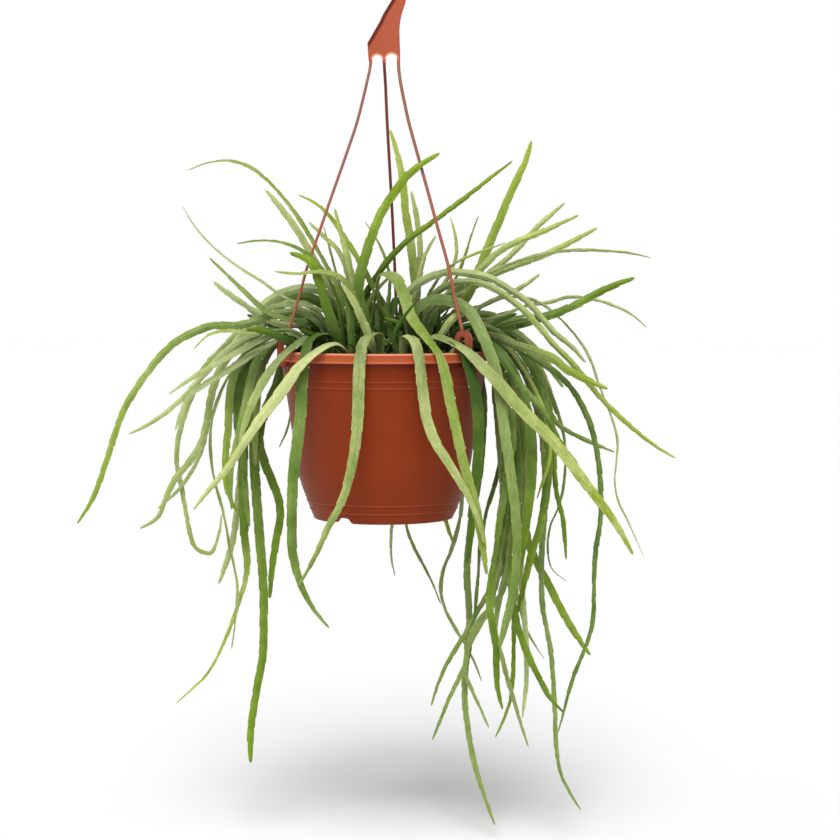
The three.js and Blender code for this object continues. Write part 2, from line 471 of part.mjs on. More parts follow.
// The pot's outer radius at a height: the rim band, then the wall.
function potRadius(z) {
  if (z > -RIM_BAND) return RIM_RADIUS;
  for (let k = 1; k < OUTER_WALL.length; k += 1) {
    const [[topRadius, topZ], [lowRadius, lowZ]] = [OUTER_WALL[k - 1], OUTER_WALL[k]];
    if (z >= lowZ) return THREE.MathUtils.mapLinear(z, topZ, lowZ, topRadius, lowRadius);
  }
  return OUTER_WALL[OUTER_WALL.length - 1][0];
}

// The course of an arm's middle, from inside the plate down into its clip.
function armCourse({ azimuth, start, lean, bow }) {
  const [[, top], [, low]] = [ARM_COURSE[0], ARM_COURSE[ARM_COURSE.length - 1]];
  const [cos, sin] = [Math.cos(radians(azimuth)), Math.sin(radians(azimuth))];
  const points = [
    new THREE.Vector3(start, 0, PLATE_FOOT_Z + 7),
    new THREE.Vector3(start, 2 * sin, PLATE_FOOT_Z - 3),
  ];
  for (const [radius, z] of ARM_COURSE) {
    const leans = lean * Math.max(0, (z - ARM_LEANS_ABOVE) / (top - ARM_LEANS_ABOVE));
    const bows = bow * Math.sin(Math.PI * (z - low) / (top - low));
    points.push(new THREE.Vector3(radius * cos + leans + bows, radius * sin, z));
  }
  return new THREE.CatmullRomCurve3(points, false, 'centripetal').getSpacedPoints(ARM_STATIONS);
}

function armSolid(arm) {
  const side = new THREE.Vector3(-Math.sin(radians(arm.azimuth)), Math.cos(radians(arm.azimuth)), 0);
  const course = armCourse(arm);
  const rings = course.map((point, k) => {
    const along = course[Math.min(k + 1, course.length - 1)].clone().sub(course[Math.max(k - 1, 0)]);
    const out = along.cross(side).normalize();
    return [[-1, -1], [1, -1], [1, 1], [-1, 1]].map(([u, v]) => point.clone()
      .addScaledVector(side, u * ARM_WIDTH / 2).addScaledVector(out, v * ARM_THICKNESS / 2));
  });
  return solidOf(loftOf(rings));
}

// The clip at an arm's end: an arch over the rim, a straight leg inside, and a toe under the rim band.
function clipSolid({ azimuth }) {
  const outerFace = RIM_RADIUS + CLIP.rimGap;
  const centre = outerFace - CLIP.inner;
  const innerFace = centre - CLIP.inner;
  const toeTop = -RIM_BAND - CLIP.rimGap;
  const toeTip = potRadius(toeTop) + CLIP.rimGap;
  const outline = new THREE.Shape();
  outline.moveTo(innerFace, CLIP.innerFoot);
  outline.lineTo(innerFace, CLIP.centreZ);
  outline.absarc(centre, CLIP.centreZ, CLIP.inner, Math.PI, 0, true);
  outline.lineTo(outerFace, toeTop);
  outline.lineTo(toeTip, toeTop);
  outline.lineTo(toeTip, toeTop - CLIP.toe);
  outline.lineTo(outerFace + CLIP.leg, toeTop - CLIP.toe);
  outline.lineTo(outerFace + CLIP.leg, CLIP.centreZ);
  outline.absarc(centre, CLIP.centreZ, CLIP.inner + CLIP.leg, 0, Math.PI, false);
  outline.lineTo(innerFace - CLIP.leg, CLIP.innerFoot);
  const radial = new THREE.Vector3(Math.cos(radians(azimuth)), Math.sin(radians(azimuth)), 0);
  return uprightPlate(outline, radial, CLIP.width, CLIP_ARC_STEPS);
}

// Stands an outline drawn as [along, z] up in the plane through the axis and the along direction.
function uprightPlate(outline, along, thickness, curveSegments) {
  const up = new THREE.Vector3(0, 0, 1);
  const plate = new THREE.ExtrudeGeometry(outline, { depth: thickness, bevelEnabled: false, curveSegments });
  plate.translate(0, 0, -thickness / 2);
  plate.applyMatrix4(new THREE.Matrix4().makeBasis(along, up, along.clone().cross(up)));
  return solidOf(plate);
}

// The flat plate that gathers the arms under two small arches and runs up into the hook.
function hookPlateSolid() {
  const { centreZ, innerRadius, outerRadius, tipAngle } = HOOK;
  const outline = new THREE.Shape();
  const foot = PLATE_FOOT_Z;
  outline.moveTo(-11.6, foot);
  for (const { x, z, radius } of ARCHES) {
    outline.lineTo(x - radius, foot);
    outline.absarc(x, foot + z, radius, Math.PI, 0, true);
    outline.lineTo(x + radius, foot);
  }
  outline.lineTo(13.3, foot);
  outline.lineTo(12.8, foot + 4);
  outline.lineTo(12.8, foot + 24);
  outline.quadraticCurveTo(13.2, foot + 34, 16, foot + 41);
  outline.quadraticCurveTo(outerRadius, foot + 54, outerRadius, centreZ);
  outline.absarc(0, centreZ, outerRadius, 0, radians(tipAngle), false);
  outline.absarc(0, centreZ, innerRadius, radians(tipAngle), 0, true);
  outline.quadraticCurveTo(innerRadius, foot + 62, 6.5, foot + 47.5);
  outline.lineTo(0, foot + 37);
  outline.lineTo(-3, foot + 30.5);
  outline.lineTo(-12.6, foot + 14);
  return uprightPlate(outline, new THREE.Vector3(1, 0, 0), PLATE_THICKNESS, PLATE_ARC_STEPS);
}

function hangerSolid() {
  return ARMS.reduce((whole, arm) => whole.add(armSolid(arm)).add(clipSolid(arm)), hookPlateSolid());
}

// Where a point lies that is seen at x and z on the plane through the axis, at a true depth.
function seenPoint(x, z, depth) {
  const scale = (depth - EYE.y) / -EYE.y;
  return new THREE.Vector3(x * scale, depth, EYE.z + (z - EYE.z) * scale);
}

// Reads a list of values, spread evenly from 0 to 1, at a share of the way.
function valueAlong(values, share) {
  const place = share * (values.length - 1);
  const low = Math.min(Math.floor(place), values.length - 2);
  return THREE.MathUtils.lerp(values[low], values[low + 1], place - low);
}

// A stem's stations, one a step: up out of its collar, then along its route to the tip.
function stationsOf({ depths, route }, [rootX, rootY]) {
  const seen = [];
  for (let k = 0; k < route.length; k += 2) seen.push(new THREE.Vector2(route[k], route[k + 1]));
  const reach = [0];
  for (let k = 1; k < seen.length; k += 1) reach.push(reach[k - 1] + seen[k].distanceTo(seen[k - 1]));
  const total = reach[reach.length - 1];
  const points = seen.map((p, k) => seenPoint(p.x, p.y, valueAlong(depths, reach[k] / total)));
  const lean = new THREE.Vector2(points[0].x - rootX, points[0].y - rootY).clampLength(0, COLLAR.spread);
  const foot = new THREE.Vector3(rootX + lean.x, rootY + lean.y, COLLAR.bottom + COLLAR.root);
  const neck = foot.clone().setZ(COLLAR.top);
  const curve = new THREE.CatmullRomCurve3([foot, neck, ...points], false, 'centripetal');
  return curve.getSpacedPoints(Math.max(3, Math.round(curve.getLength() / STATION_STEP)));
}

// The turn about its course that lays a station level, or as far as it may go either way.
function levelling(along, cross) {
  const level = new THREE.Vector3(along.y, -along.x, 0).normalize();
  if (level.dot(cross) < 0) level.negate();
  const turn = Math.min(cross.angleTo(level), radians(FLAT_ON_RIM.mostTurn));
  return turn * Math.sign(cross.clone().cross(level).dot(along));
}

// Sets each station's frame: the cross direction faces the eye squarely at the middle of the stem,
// is carried from there without spinning, takes the stem's own turn and twist, and lies level where
// the stem passes low over the rim.
function framesOf({ points, plan, twist, overRim, flatness }) {
  const last = points.length - 1;
  const along = points.map((_, k) => points[Math.min(k + 1, last)].clone()
    .sub(points[Math.max(k - 1, 0)]).normalize());
  const middle = Math.round(last * SQUARE_ON_AT);
  const side = [];
  side[middle] = along[middle].clone().cross(points[middle].clone().sub(EYE)).normalize();
  const carry = (from, to) => {
    side[to] = side[from].clone().addScaledVector(along[to], -side[from].dot(along[to])).normalize();
  };
  for (let k = middle + 1; k <= last; k += 1) carry(k - 1, k);
  for (let k = middle - 1; k >= 0; k -= 1) carry(k + 1, k);
  side.forEach((cross, k) => {
    cross.applyAxisAngle(along[k], radians(plan.turn + twist * (k - middle) / last));
  });
  const rim = Math.min(overRim, last);
  const turnToLevel = flatness * levelling(along[rim], side[rim]);
  return side.map((cross, k) => {
    const share = Math.exp(-(((k - overRim + 0.5) / FLAT_ON_RIM.stations) ** 2));
    cross.applyAxisAngle(along[k], share * turnToLevel);
    return { along: along[k], side: cross, front: along[k].clone().cross(cross) };
  });
}

// Half of a stem's width at a station: narrow at the base, full along the stem, pointed at the tip.
function halfWidth({ width, taper }, k, last) {
  const base = THREE.MathUtils.lerp(BASE_WIDTH, width, Math.min(1, k * STATION_STEP / FULL_WIDTH_AT));
  const left = (last - k) * STATION_STEP;
  return Math.min(width, base) / 2 * Math.min(1, (Math.max(left, 0) / taper) ** TIP_BLUNTNESS);
}

function stemSolid(growth) {
  const { points, frames, plan } = growth;
  const last = points.length - 1;
  const rings = points.map((point, k) => {
    if (k === last) return [point];
    const { side, front } = frames[k];
    const half = halfWidth(plan, k, last);
    const notch = k * STATION_STEP > FULL_WIDTH_AT ? NOTCH_DEPTH : 0;
    const left = half * (k % 2 ? 1 - notch : 1);
    const right = half * (k % 2 ? 1 : 1 - notch);
    const slim = Math.min(1, half / SLIM_BELOW);
    return [
      point.clone().addScaledVector(side, -left).addScaledVector(front, BACK * slim),
      point.clone().addScaledVector(side, right).addScaledVector(front, BACK * slim),
      point.clone().addScaledVector(front, MIDRIB * slim),
    ];
  });
  return solidOf(loftOf(rings));
}

// The places of two stretches of stem that lie closest, as shares of each.
function closestShares(a, b, c, d) {
  const [u, v, w] = [b.clone().sub(a), d.clone().sub(c), a.clone().sub(c)];
  const [uu, uv, vv, uw, vw] = [u.dot(u), u.dot(v), v.dot(v), u.dot(w), v.dot(w)];
  const clamp = (share) => Math.min(1, Math.max(0, share));
  const spread = uu * vv - uv * uv;
  let s = spread > 1e-6 ? clamp((uv * vw - vv * uw) / spread) : 0.5;
  const t = clamp((uv * s + vw) / vv);
  s = clamp((uv * t - uw) / uu);
  return [s, t];
}

// How far a stem's section reaches from its middle in a direction.
function reachOf({ plan, frames, points }, k, direction) {
  if (plan.reach) return plan.reach;
  const { side, front } = frames[k];
  return halfWidth(plan, k, points.length - 1) * Math.abs(direction.dot(side))
    + MIDRIB * Math.abs(direction.dot(front));
}

// The stretches of different clumps that lie near enough to meet.
function nearStretches(growths) {
  const stretches = growths.flatMap((growth, order) => growth.points.slice(1).map((point, k) => ({
    growth, order, k, middle: point.clone().add(growth.points[k]).multiplyScalar(0.5),
  })));
  const near = [];
  for (let i = 0; i < stretches.length; i += 1) {
    for (let j = i + 1; j < stretches.length; j += 1) {
      const [one, two] = [stretches[i], stretches[j]];
      if (one.growth.clump === two.growth.clump) continue;
      if (one.middle.distanceTo(two.middle) < SEARCH_RADIUS) near.push([one, two]);
    }
  }
  return near;
}

// Pushes two stretches apart, mostly along the line of sight, where their sections would meet.
function partStretches([one, two]) {
  const [a, b] = [one.growth.points[one.k], one.growth.points[one.k + 1]];
  const [c, d] = [two.growth.points[two.k], two.growth.points[two.k + 1]];
  const [s, t] = closestShares(a, b, c, d);
  const from = a.clone().lerp(b, s);
  const apart = c.clone().lerp(d, t).sub(from);
  const distance = apart.length();
  if (distance < 0.05) apart.copy(b).sub(a).cross(d.clone().sub(c));
  apart.normalize();
  const need = reachOf(one.growth, one.k, apart) + reachOf(two.growth, two.k, apart) + CLEARANCE;
  if (distance >= need) return;
  const sight = from.clone().sub(EYE).normalize();
  const behind = sight.dot(apart) > -0.05 ? 1 : -1;
  const push = sight.multiplyScalar(ALONG_SIGHT * behind).addScaledVector(apart, 1 - ALONG_SIGHT)
    .multiplyScalar((need - distance) / 2);
  one.growth.moves[one.k].addScaledVector(push, -(1 - s));
  one.growth.moves[one.k + 1].addScaledVector(push, -s);
  two.growth.moves[two.k].addScaledVector(push, 1 - t);
  two.growth.moves[two.k + 1].addScaledVector(push, t);
}

// Lifts a stretch off the soil and over the rim and, past the rim, holds it off the pot's wall.
function clearPot(growth, k) {
  const wallInner = potRadius(SOIL_EDGE_Z) - WALL;
  for (const share of [0, 1 / 3, 2 / 3]) {
    const point = growth.points[k].clone().lerp(growth.points[k + 1], share);
    const radius = Math.hypot(point.x, point.y);
    const out = new THREE.Vector3(point.x / radius, point.y / radius, 0);
    const besides = reachOf(growth, k, out) + POT_CLEARANCE;
    const above = reachOf(growth, k, new THREE.Vector3(0, 0, 1)) + POT_CLEARANCE;
    const lift = Math.max(0, above - point.z);
    const outward = Math.max(0, potRadius(point.z) + besides - radius);
    const push = new THREE.Vector3();
    if (k < growth.overRim && radius < wallInner - besides) {
      push.z = k > 1 ? Math.max(0, SOIL_CROWN_Z + above - point.z) : 0;
    } else if (point.z > -POT_HEIGHT - 2 && radius < RIM_RADIUS + besides) {
      if (k < growth.overRim || lift < outward) push.z = Math.min(lift, outward > 0 ? lift : 0);
      else push.copy(out).multiplyScalar(outward);
    }
    growth.moves[k].addScaledVector(push, (1 - share) * POT_PUSH);
    growth.moves[k + 1].addScaledVector(push, share * POT_PUSH);
  }
}

// Moves a growth's stations by its smoothed moves; the foot in the collar stays.
function applyMoves(growth) {
  const { points, moves } = growth;
  for (let pass = 0; pass < 2; pass += 1) {
    const before = moves.map((move) => move.clone());
    for (let k = 1; k + 1 < moves.length; k += 1) {
      moves[k].multiplyScalar(2).add(before[k - 1]).add(before[k + 1]).multiplyScalar(0.25);
    }
  }
  points.forEach((point, k) => {
    point.addScaledVector(moves[k], Math.min(1, Math.max(0, (k * STATION_STEP - STIFF_FOOT) / FREE_AFTER)));
  });
}

// An arm, and its clip's legs outside and inside the rim, as stretches that the stems are kept off.
function armObstacles(arm) {
  const [cos, sin] = [Math.cos(radians(arm.azimuth)), Math.sin(radians(arm.azimuth))];
  const heights = [CLIP.centreZ, 0, -CLIP.centreZ];
  const legAt = (radius) => heights.map((z) => new THREE.Vector3(radius * cos, radius * sin, z));
  const outside = RIM_RADIUS + CLIP.leg / 2;
  const inside = RIM_RADIUS - 2 * CLIP.inner - CLIP.leg / 2;
  return [
    { plan: { reach: ARM_REACH }, clump: 'hanger', points: armCourse(arm) },
    { plan: { reach: CLIP_REACH }, clump: 'hanger', points: legAt(outside) },
    { plan: { reach: CLIP_REACH }, clump: 'hanger', points: legAt(inside) },
  ];
}

// Grows every stem, then bends those of different clumps clear of one another, of the hanger's arms
// and clips and of the pot.
function growStems() {
  const stems = [];
  CLUMPS.forEach((clump, number) => {
    for (const plan of clump.stems) {
      const twist = TWIST * ((stems.length * GOLDEN) % 1 - 0.5);
      stems.push({ plan, clump: number, twist, points: stationsOf(plan, clump.at) });
    }
  });
  const rimInside = potRadius(SOIL_EDGE_Z) - WALL;
  for (const growth of stems) {
    const passed = growth.points.findIndex(({ x, y }) => Math.hypot(x, y) > rimInside);
    growth.overRim = passed < 0 ? growth.points.length : passed;
    const height = passed < 0 ? FLAT_ON_RIM.below : growth.points[passed].z;
    const { below, wholly } = FLAT_ON_RIM;
    growth.flatness = Math.min(1, Math.max(0, (below - height) / (below - wholly)));
  }
  const growths = [...stems, ...ARMS.flatMap(armObstacles)];
  let near = [];
  for (let round = 0; round < ROUNDS; round += 1) {
    for (const stem of stems) stem.frames = framesOf(stem);
    if (round % ROUNDS_PER_SEARCH === 0) near = nearStretches(growths);
    for (const growth of growths) growth.moves = growth.points.map(() => new THREE.Vector3());
    near.forEach(partStretches);
    for (const stem of stems) {
      for (let k = 0; k + 1 < stem.points.length; k += 1) clearPot(stem, k);
    }
    stems.forEach(applyMoves);
  }
  for (const stem of stems) stem.frames = framesOf(stem);
  return stems;
}

// One body for each clump: its foot and the stems that grow from it.
function clumpMeshes() {
  const stems = growStems();
  return CLUMPS.map(({ at, colour }, number) => {
    let body = collarSolid(at);
    for (const growth of stems) {
      if (growth.clump === number) body = body.add(stemSolid(growth));
    }
    const name = `stems_${String(number + 1).padStart(2, '0')}`;
    return meshOf(name, outerBody(body), colour, ROUGHNESS.stems);
  });
}

const plant = new THREE.Group();
plant.position.z = -(HOOK.centreZ + HOOK.innerRadius);
plant.add(meshOf('pot', potSolid(), COLOUR.pot, ROUGHNESS.pot));
plant.add(meshOf('hanger', hangerSolid(), COLOUR.hanger, ROUGHNESS.hanger));
plant.add(meshOf('soil', soilSolid(), COLOUR.soil, ROUGHNESS.soil));
plant.add(...clumpMeshes());

const group = new THREE.Group();
group.add(plant);

export default group;
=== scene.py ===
# A trailing ribbon cactus in a hanging pot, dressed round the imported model: fine notched stems, a
# smooth moulded pot and hanger, potting mix, a studio floor, lights and the camera. Scene units are
# metres in the model's frame, whose origin is the point that the hook hangs from. The plant's own
# dimensions are in millimetres, x to the right, y to the back, z up from the rim's top.
import itertools
import json
import math

import bpy
import numpy as np
from mathutils import Matrix, Vector


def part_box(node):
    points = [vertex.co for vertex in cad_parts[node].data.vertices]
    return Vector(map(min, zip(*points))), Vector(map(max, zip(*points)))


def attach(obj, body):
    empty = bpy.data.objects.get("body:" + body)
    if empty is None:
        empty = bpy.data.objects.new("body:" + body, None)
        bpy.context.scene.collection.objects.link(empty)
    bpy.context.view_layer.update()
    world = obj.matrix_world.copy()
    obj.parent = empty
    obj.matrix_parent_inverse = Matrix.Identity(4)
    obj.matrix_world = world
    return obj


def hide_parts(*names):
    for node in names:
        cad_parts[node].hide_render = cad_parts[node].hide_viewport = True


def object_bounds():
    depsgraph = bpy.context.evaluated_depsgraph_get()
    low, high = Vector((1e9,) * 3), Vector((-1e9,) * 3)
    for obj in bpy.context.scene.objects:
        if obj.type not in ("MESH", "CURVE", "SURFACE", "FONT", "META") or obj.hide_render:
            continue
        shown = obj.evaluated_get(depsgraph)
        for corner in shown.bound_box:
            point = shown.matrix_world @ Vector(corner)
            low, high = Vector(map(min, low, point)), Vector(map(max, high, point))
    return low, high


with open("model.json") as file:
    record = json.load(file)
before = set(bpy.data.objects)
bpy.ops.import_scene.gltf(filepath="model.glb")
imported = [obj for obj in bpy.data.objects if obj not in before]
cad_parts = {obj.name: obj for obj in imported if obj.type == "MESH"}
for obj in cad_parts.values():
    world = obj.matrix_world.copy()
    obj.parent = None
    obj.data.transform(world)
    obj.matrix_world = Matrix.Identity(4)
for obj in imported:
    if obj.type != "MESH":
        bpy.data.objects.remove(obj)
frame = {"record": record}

MM = 0.001
BODY = "root"
CAD_LOW, CAD_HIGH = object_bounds()
RIM_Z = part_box("pot")[1].z
SLOT_OF = {part["node"]: part["material_slot"] for part in frame["record"]["subparts"]}

# Camera: where it stands, which way it looks, and its lens
EYE_HEIGHT = 57
EYE_DISTANCE = 1700
CAMERA_YAW = 0.98
CAMERA_PITCH = 3.796
LENS = 91.07
SENSOR = 36

# Pot
RIM_RADIUS = 85
RIM_BAND = 7.7
RIM_ROUND = 1.5
BAND_ROUND = 0.7
# The band's shallow hollow: how deep it is, and how far its ends lie from the band's edges
BAND_HOLLOW = {"depth": 0.35, "above_low": 2, "below_top": 2.6}
POT_HEIGHT = 134
WALL = 2
WALL_POINTS = 160
FOOT_HEIGHT = 5
FOOT_INNER_RADIUS = 50
# The foot's outer edge and inner edge, the edge of the floor's underside, and the floor's edge inside
FOOT_ROUND = 1.8
FOOT_CHAMFER = 0.6
FLOOR_EDGE = {"inset": 1.5, "radius": 1}
FLOOR_CHAMFER = 1
POT_SIDES = 192
NOTCH = {"width": 15, "height": 4.6, "depth": 20, "azimuth": 235, "count": 3, "round": 3}
DRAIN = {"radius": 4, "ring": 32, "count": 4, "sides": 32}
# The outer wall under the rim band, as radius and z, from the top down to the foot
OUTER_WALL = [(81.7, -RIM_BAND), (76.6, -42), (67.7, -101), (61.6, -119), (56.6, -132.2)]
# Fine raised lines round the wall: their heights, and how far each stands out and spreads
BEAD_HEIGHTS = (-22.3, -27.4, -119.5, -126)
BEAD = {"proud": 0.55, "spread": 0.5}

# Soil: the mound's edge and crown, its gap to the pot, the chamfer of its foot inwards and upwards,
# how far under the edge its side ends, and its outermost and innermost rings as shares of its radius.
# Corners higher than a little under the edge are sunk at random, so that the top is lumpy.
SOIL_EDGE_Z = -12
SOIL_CROWN_Z = -10
SOIL_GAP = 0.4
SOIL_FOOT_CHAMFER = (1, 2)
SOIL_EDGE_FALL = 1.5
SOIL_RINGS = {"from": 0.985, "to": 0.02, "count": 40, "sides": 96}
SOIL_LUMP = 0.7
LUMPY_FROM = 0.5
# What lies on the soil: chips of bark, and grains of perlite, which all have one form. A pair is the
# least and greatest of what varies; breadth and thickness are shares of the length. All lie within a
# share of the mound's radius, are sunk by a little and raised by a share of their own thickness.
BARK = {"count": 110, "size": (1.6, 4.2), "breadth": (0.4, 0.8), "thickness": (0.25, 0.5), "power": 0.6}
PERLITE = {"count": 60, "size": (0.7, 1.5), "form": (1, 0.9, 0.8), "power": 1}
GRAINS = {"within": 0.93, "spin": (0, 6.28), "tilt": (-0.5, 0.5), "rough": (0.85, 1.1),
          "sunk": 0.4, "raised": 0.3}

# Hanger, with its arms' course as radius and z from the plate down to the clips. Each arm starts at
# its own x in the plate, its upper end leans that way, its middle may bow, and one, the back arm, is
# darkened by painted shade.
ARM_COURSE = [(16, 212), (19, 199), (24, 180), (35, 148), (44, 123), (53, 98), (64.5, 67), (71, 45),
              (77.5, 25), (80.8, 15)]
ARMS = [
    {"azimuth": 202, "start": -10.2, "lean": 1.8, "bow": 0, "shade": 0},
    {"azimuth": 319.5, "start": 12, "lean": 1.3, "bow": 1.8, "shade": 0},
    {"azimuth": 82, "start": 0.8, "lean": -0.5, "bow": 0.4, "shade": 0.6},
]
ARM_START = {"in_plate": 7, "under": 3, "out": 2}
ARM_LEANS_ABOVE = 110
ARM_WIDTH = 2.4
ARM_THICKNESS = 2.2
ARM_STATIONS = 15
ARM_REACH = 2.4
ARM_RINGS = 90
CLIP_REACH = 3.2
# A clip: its measures, then how dull its plastic is and how much painted shade darkens it
CLIP = {"width": 4, "leg": 2.8, "inner": 3.7, "centre_z": 10, "inner_foot": -9, "toe": 3,
        "chamfer": 1, "rim_gap": 0.35, "arm": 0.3, "shade": 0.3}
# The section of an arm or a bead: how many corners it has, and how square it is
BAR_SIDES = 12
BAR_SQUARENESS = 3
PLATE_THICKNESS = 3.6
PLATE_FOOT_Z = 229.5
# The two arches in the plate's foot, between the arms
ARCHES = [{"x": -4.75, "z": 0.6, "radius": 4.15}, {"x": 6.6, "z": 0.8, "radius": 4.9}]
HOOK = {"centre_z": 315, "inner": 13, "outer": 21, "tip_angle": 210}
EDGE_ROUND = 0.6
CLIP_ROUND = 0.9
# The rings of a plate's rounded edges, from its back to its front: how much of the inset each takes,
# and how deep it lies under its face as a share of the edge's depth. The front's edge is 1 mm deep
# where its inset is EDGE_ROUND, and deeper in proportion to a greater one.
BACK_EDGE = [(1, 0), (0.3, 0.3), (0, 1)]
FRONT_EDGE = [(0, 1), (0.3, 0.3), (1, 0), (1.4, 0)]
# The plate's left edge, which is cut off slantwise: how deep, and its reach in x and above the foot
LEFT_CHAMFER = {"inset": 2.6, "x": 17, "above": (10, 70)}
# The beads round the arches: their radius, and as shares of it how far outside the arch and how far
# behind the plate's front they lie; then how far down they run and where their painted glint sets in
ARCH_BEAD = {"radius": 0.6, "outside": 0.7, "behind": 0.2, "down": 2, "lit": (-1, 3.5)}
# How much painted shade darkens each ring of the plate's left edge, how far under the plate an arm's
# colour sets in, and how much of it is lost further down
PAINTED_SHADE_BY_RING = {2: 0.7, 3: 1.0, 4: 1.0, 5: 0.9}
ARM_BLEND = (-2, 9)
LOW_ARM = {"brighter": 0.45, "below": (60, 150)}
# The plate's sides as x and height above its foot, the right one going up and the left one coming
# down; the neck's points on the right and the left; how high the bends from it to the hook have their
# middles; and where the foot begins on the left
PLATE_RIGHT = [(13.3, 0), (13.4, 4), (13.2, 10), (12.9, 17), (12.8, 24)]
PLATE_LEFT = [(3, 41.8), (0, 37), (-3, 30.5), (-5.4, 26.4), (-7.8, 22.3), (-10.2, 18.1),
              (-12.6, 14), (-12.3, 8)]
NECK_RIGHT = [(13.2, 34), (16, 41)]
NECK_LEFT = [(6.5, 47.5)]
HOOK_BENDS = {"outer": 54, "inner": 62}
PLATE_FOOT_LEFT = -11.6

# Stems' stations, one a step, and how they are bent clear of one another and of the pot
STATION_STEP = 17
LEAST_STEPS = 3
MIDRIB = 1.4
SLIM_BELOW = 2.5
BASE_WIDTH = 5
FULL_WIDTH_AT = 45
TIP_BLUNTNESS = 1 / 3
TWIST = 60
SQUARE_ON_AT = 0.6
# A stem that passes low over the rim lies flat on it: how many stations and degrees that takes, and
# how low it passes
FLAT_ON_RIM = {"stations": 1.8, "most_turn": 50, "below": 22, "wholly": 10}
COLLAR = {"radius": 6, "top": -7, "bottom": -24, "spread": 1.4, "root": 2}
CLEARANCE = 0.5
POT_CLEARANCE = 1.15
# The rounds of pushing, those between two searches for stretches that lie near, and how often a
# round's moves are eased along each stem
ROUNDS = 90
ROUNDS_PER_SEARCH = 10
SEARCH_RADIUS = 26
EASINGS = 2
# The share of a push between stems that goes along the line of sight, the share of the way clear of
# the pot that one round takes, and how long a stem's foot stays stiff and then takes to grow free
ALONG_SIGHT = 0.75
POT_PUSH = 0.6
STIFF_FOOT = 14
FREE_AFTER = 40
# Stretches nearer than this count as meeting, and a stem this little under the pot's foot is still
# held off it
MEETING = 0.05
BELOW_POT = 2
# These two keep a sum from dividing by nothing, and a curve's length is measured at so many points
PARALLEL = 1e-6
SMALLEST = 1e-12
CURVE_SAMPLES = 201
EYE = np.array((0, -EYE_DISTANCE, EYE_HEIGHT), float)
GOLDEN = 0.618034

# Stems' fine form: a stem narrows by a share over its last stretch, and its margins step in at each
# notch and swell again up to the next
RING_STEP = 1.7
LEAST_RINGS = 8
NARROWING = {"share": 0.28, "start": 0.25}
# Stems whose end shows its edge, by number: the share of the width lost, from which share of the
# length, and how much paler the end is; then the shares of the length that both changes take
THINNED = {31: (0.3, 0.74, 0.15), 55: (0.5, 0.64, 0.5)}
NOT_THINNED = (0, 0.5, 0)
THINS_OVER = 0.2
PALES_OVER = 0.15
NOTCH_PERIOD = (8, 17)
NOTCH_DEPTH = (0.3, 0.95)
NOTCH_BOLDNESS = (0.8, 1.15)
NOTCH_SWELL = 0.6
DEEPEST_NOTCH = 0.4
NOTCHES_FROM = 24
NOTCHES_FADE_IN = 0.6
NOTCHES_END = 4
# The wool in a notch: its radius where the stem is wide, the half width that counts as wide, the
# sizes drawn from, its form, and how far it lies inside the margin and before it
WOOL = {"radius": 0.5, "wide": 3, "sizes": (0.45, 0.5, 0.6, 0.75, 1.2), "form": (0.8, 0.8, 1.1),
        "inside": 0.12, "before": 0.05}
SEED = 1804


def stem(width, turn, taper, depths, *route):
    """A stem: its full width, its turn about its own course in degrees (0 shows its broad side), how
    far from the tip it starts to narrow, its depths behind the pot's axis, spread evenly along its
    route, and the route as seen: pairs of x and z on the upright plane through the axis."""
    route = np.reshape(route, (-1, 2)).astype(float)
    return {"width": width, "turn": turn, "taper": taper, "depths": depths, "route": route}


# Stems that hang or stand before the pot, by the clump's place in the soil
FRONT = [
    ((-24, -56), [
        stem(10, 0, 110, [-62, -72, -82, -86, -84], -33, 3, -43, 0, -54, -9, -64, -15, -76, -27,
             -99, -55, -125, -94, -143, -115, -153, -128),
        stem(8, 12, 16, [-56, -54, -50], -25, 2, -26, 20, -28, 38, -32, 52)]),
    ((-3, -60), [
        stem(10, 0, 140, [-66, -86, -96, -98, -94], -3, 9, -9, 7, -14, -5, -17, -19, -20, -50,
             -25, -89, -34, -122, -42, -136, -56, -167, -69, -190),
        stem(8, 0, 16, [-60, -56, -52], -9, 3, -13, 14, -19, 28, -26, 42, -33, 53)]),
    ((15, -59), [
        stem(9.5, 0, 90, [-63, -88, -98, -100, -98], 16, 8, 23, -6, 27, -22, 34, -55, 39, -69,
             47, -82, 62, -107, 70, -122, 77, -140, 81, -156),
        stem(5, 20, 20, [-60, -56], 8, 6, 11, 17, 17, 28, 25, 38)]),
    ((37, -47), [
        stem(10.5, 0, 70, [-52, -66, -78, -82, -80], 38, 9, 47, 4, 61, -3, 77, -15, 93, -28, 109, -46,
             137, -74, 163, -108, 187, -140, 201, -165),
        stem(8, 25, 22, [-48, -46, -40], 42, 6, 48, 15, 55, 25, 63, 31, 76, 33),
        stem(10, 0, 40, [-54, -66, -68, -64], 53, 5, 64, -8, 71, -26, 75, -45, 76, -80, 73, -112,
             70, -145, 67, -172)]),
]

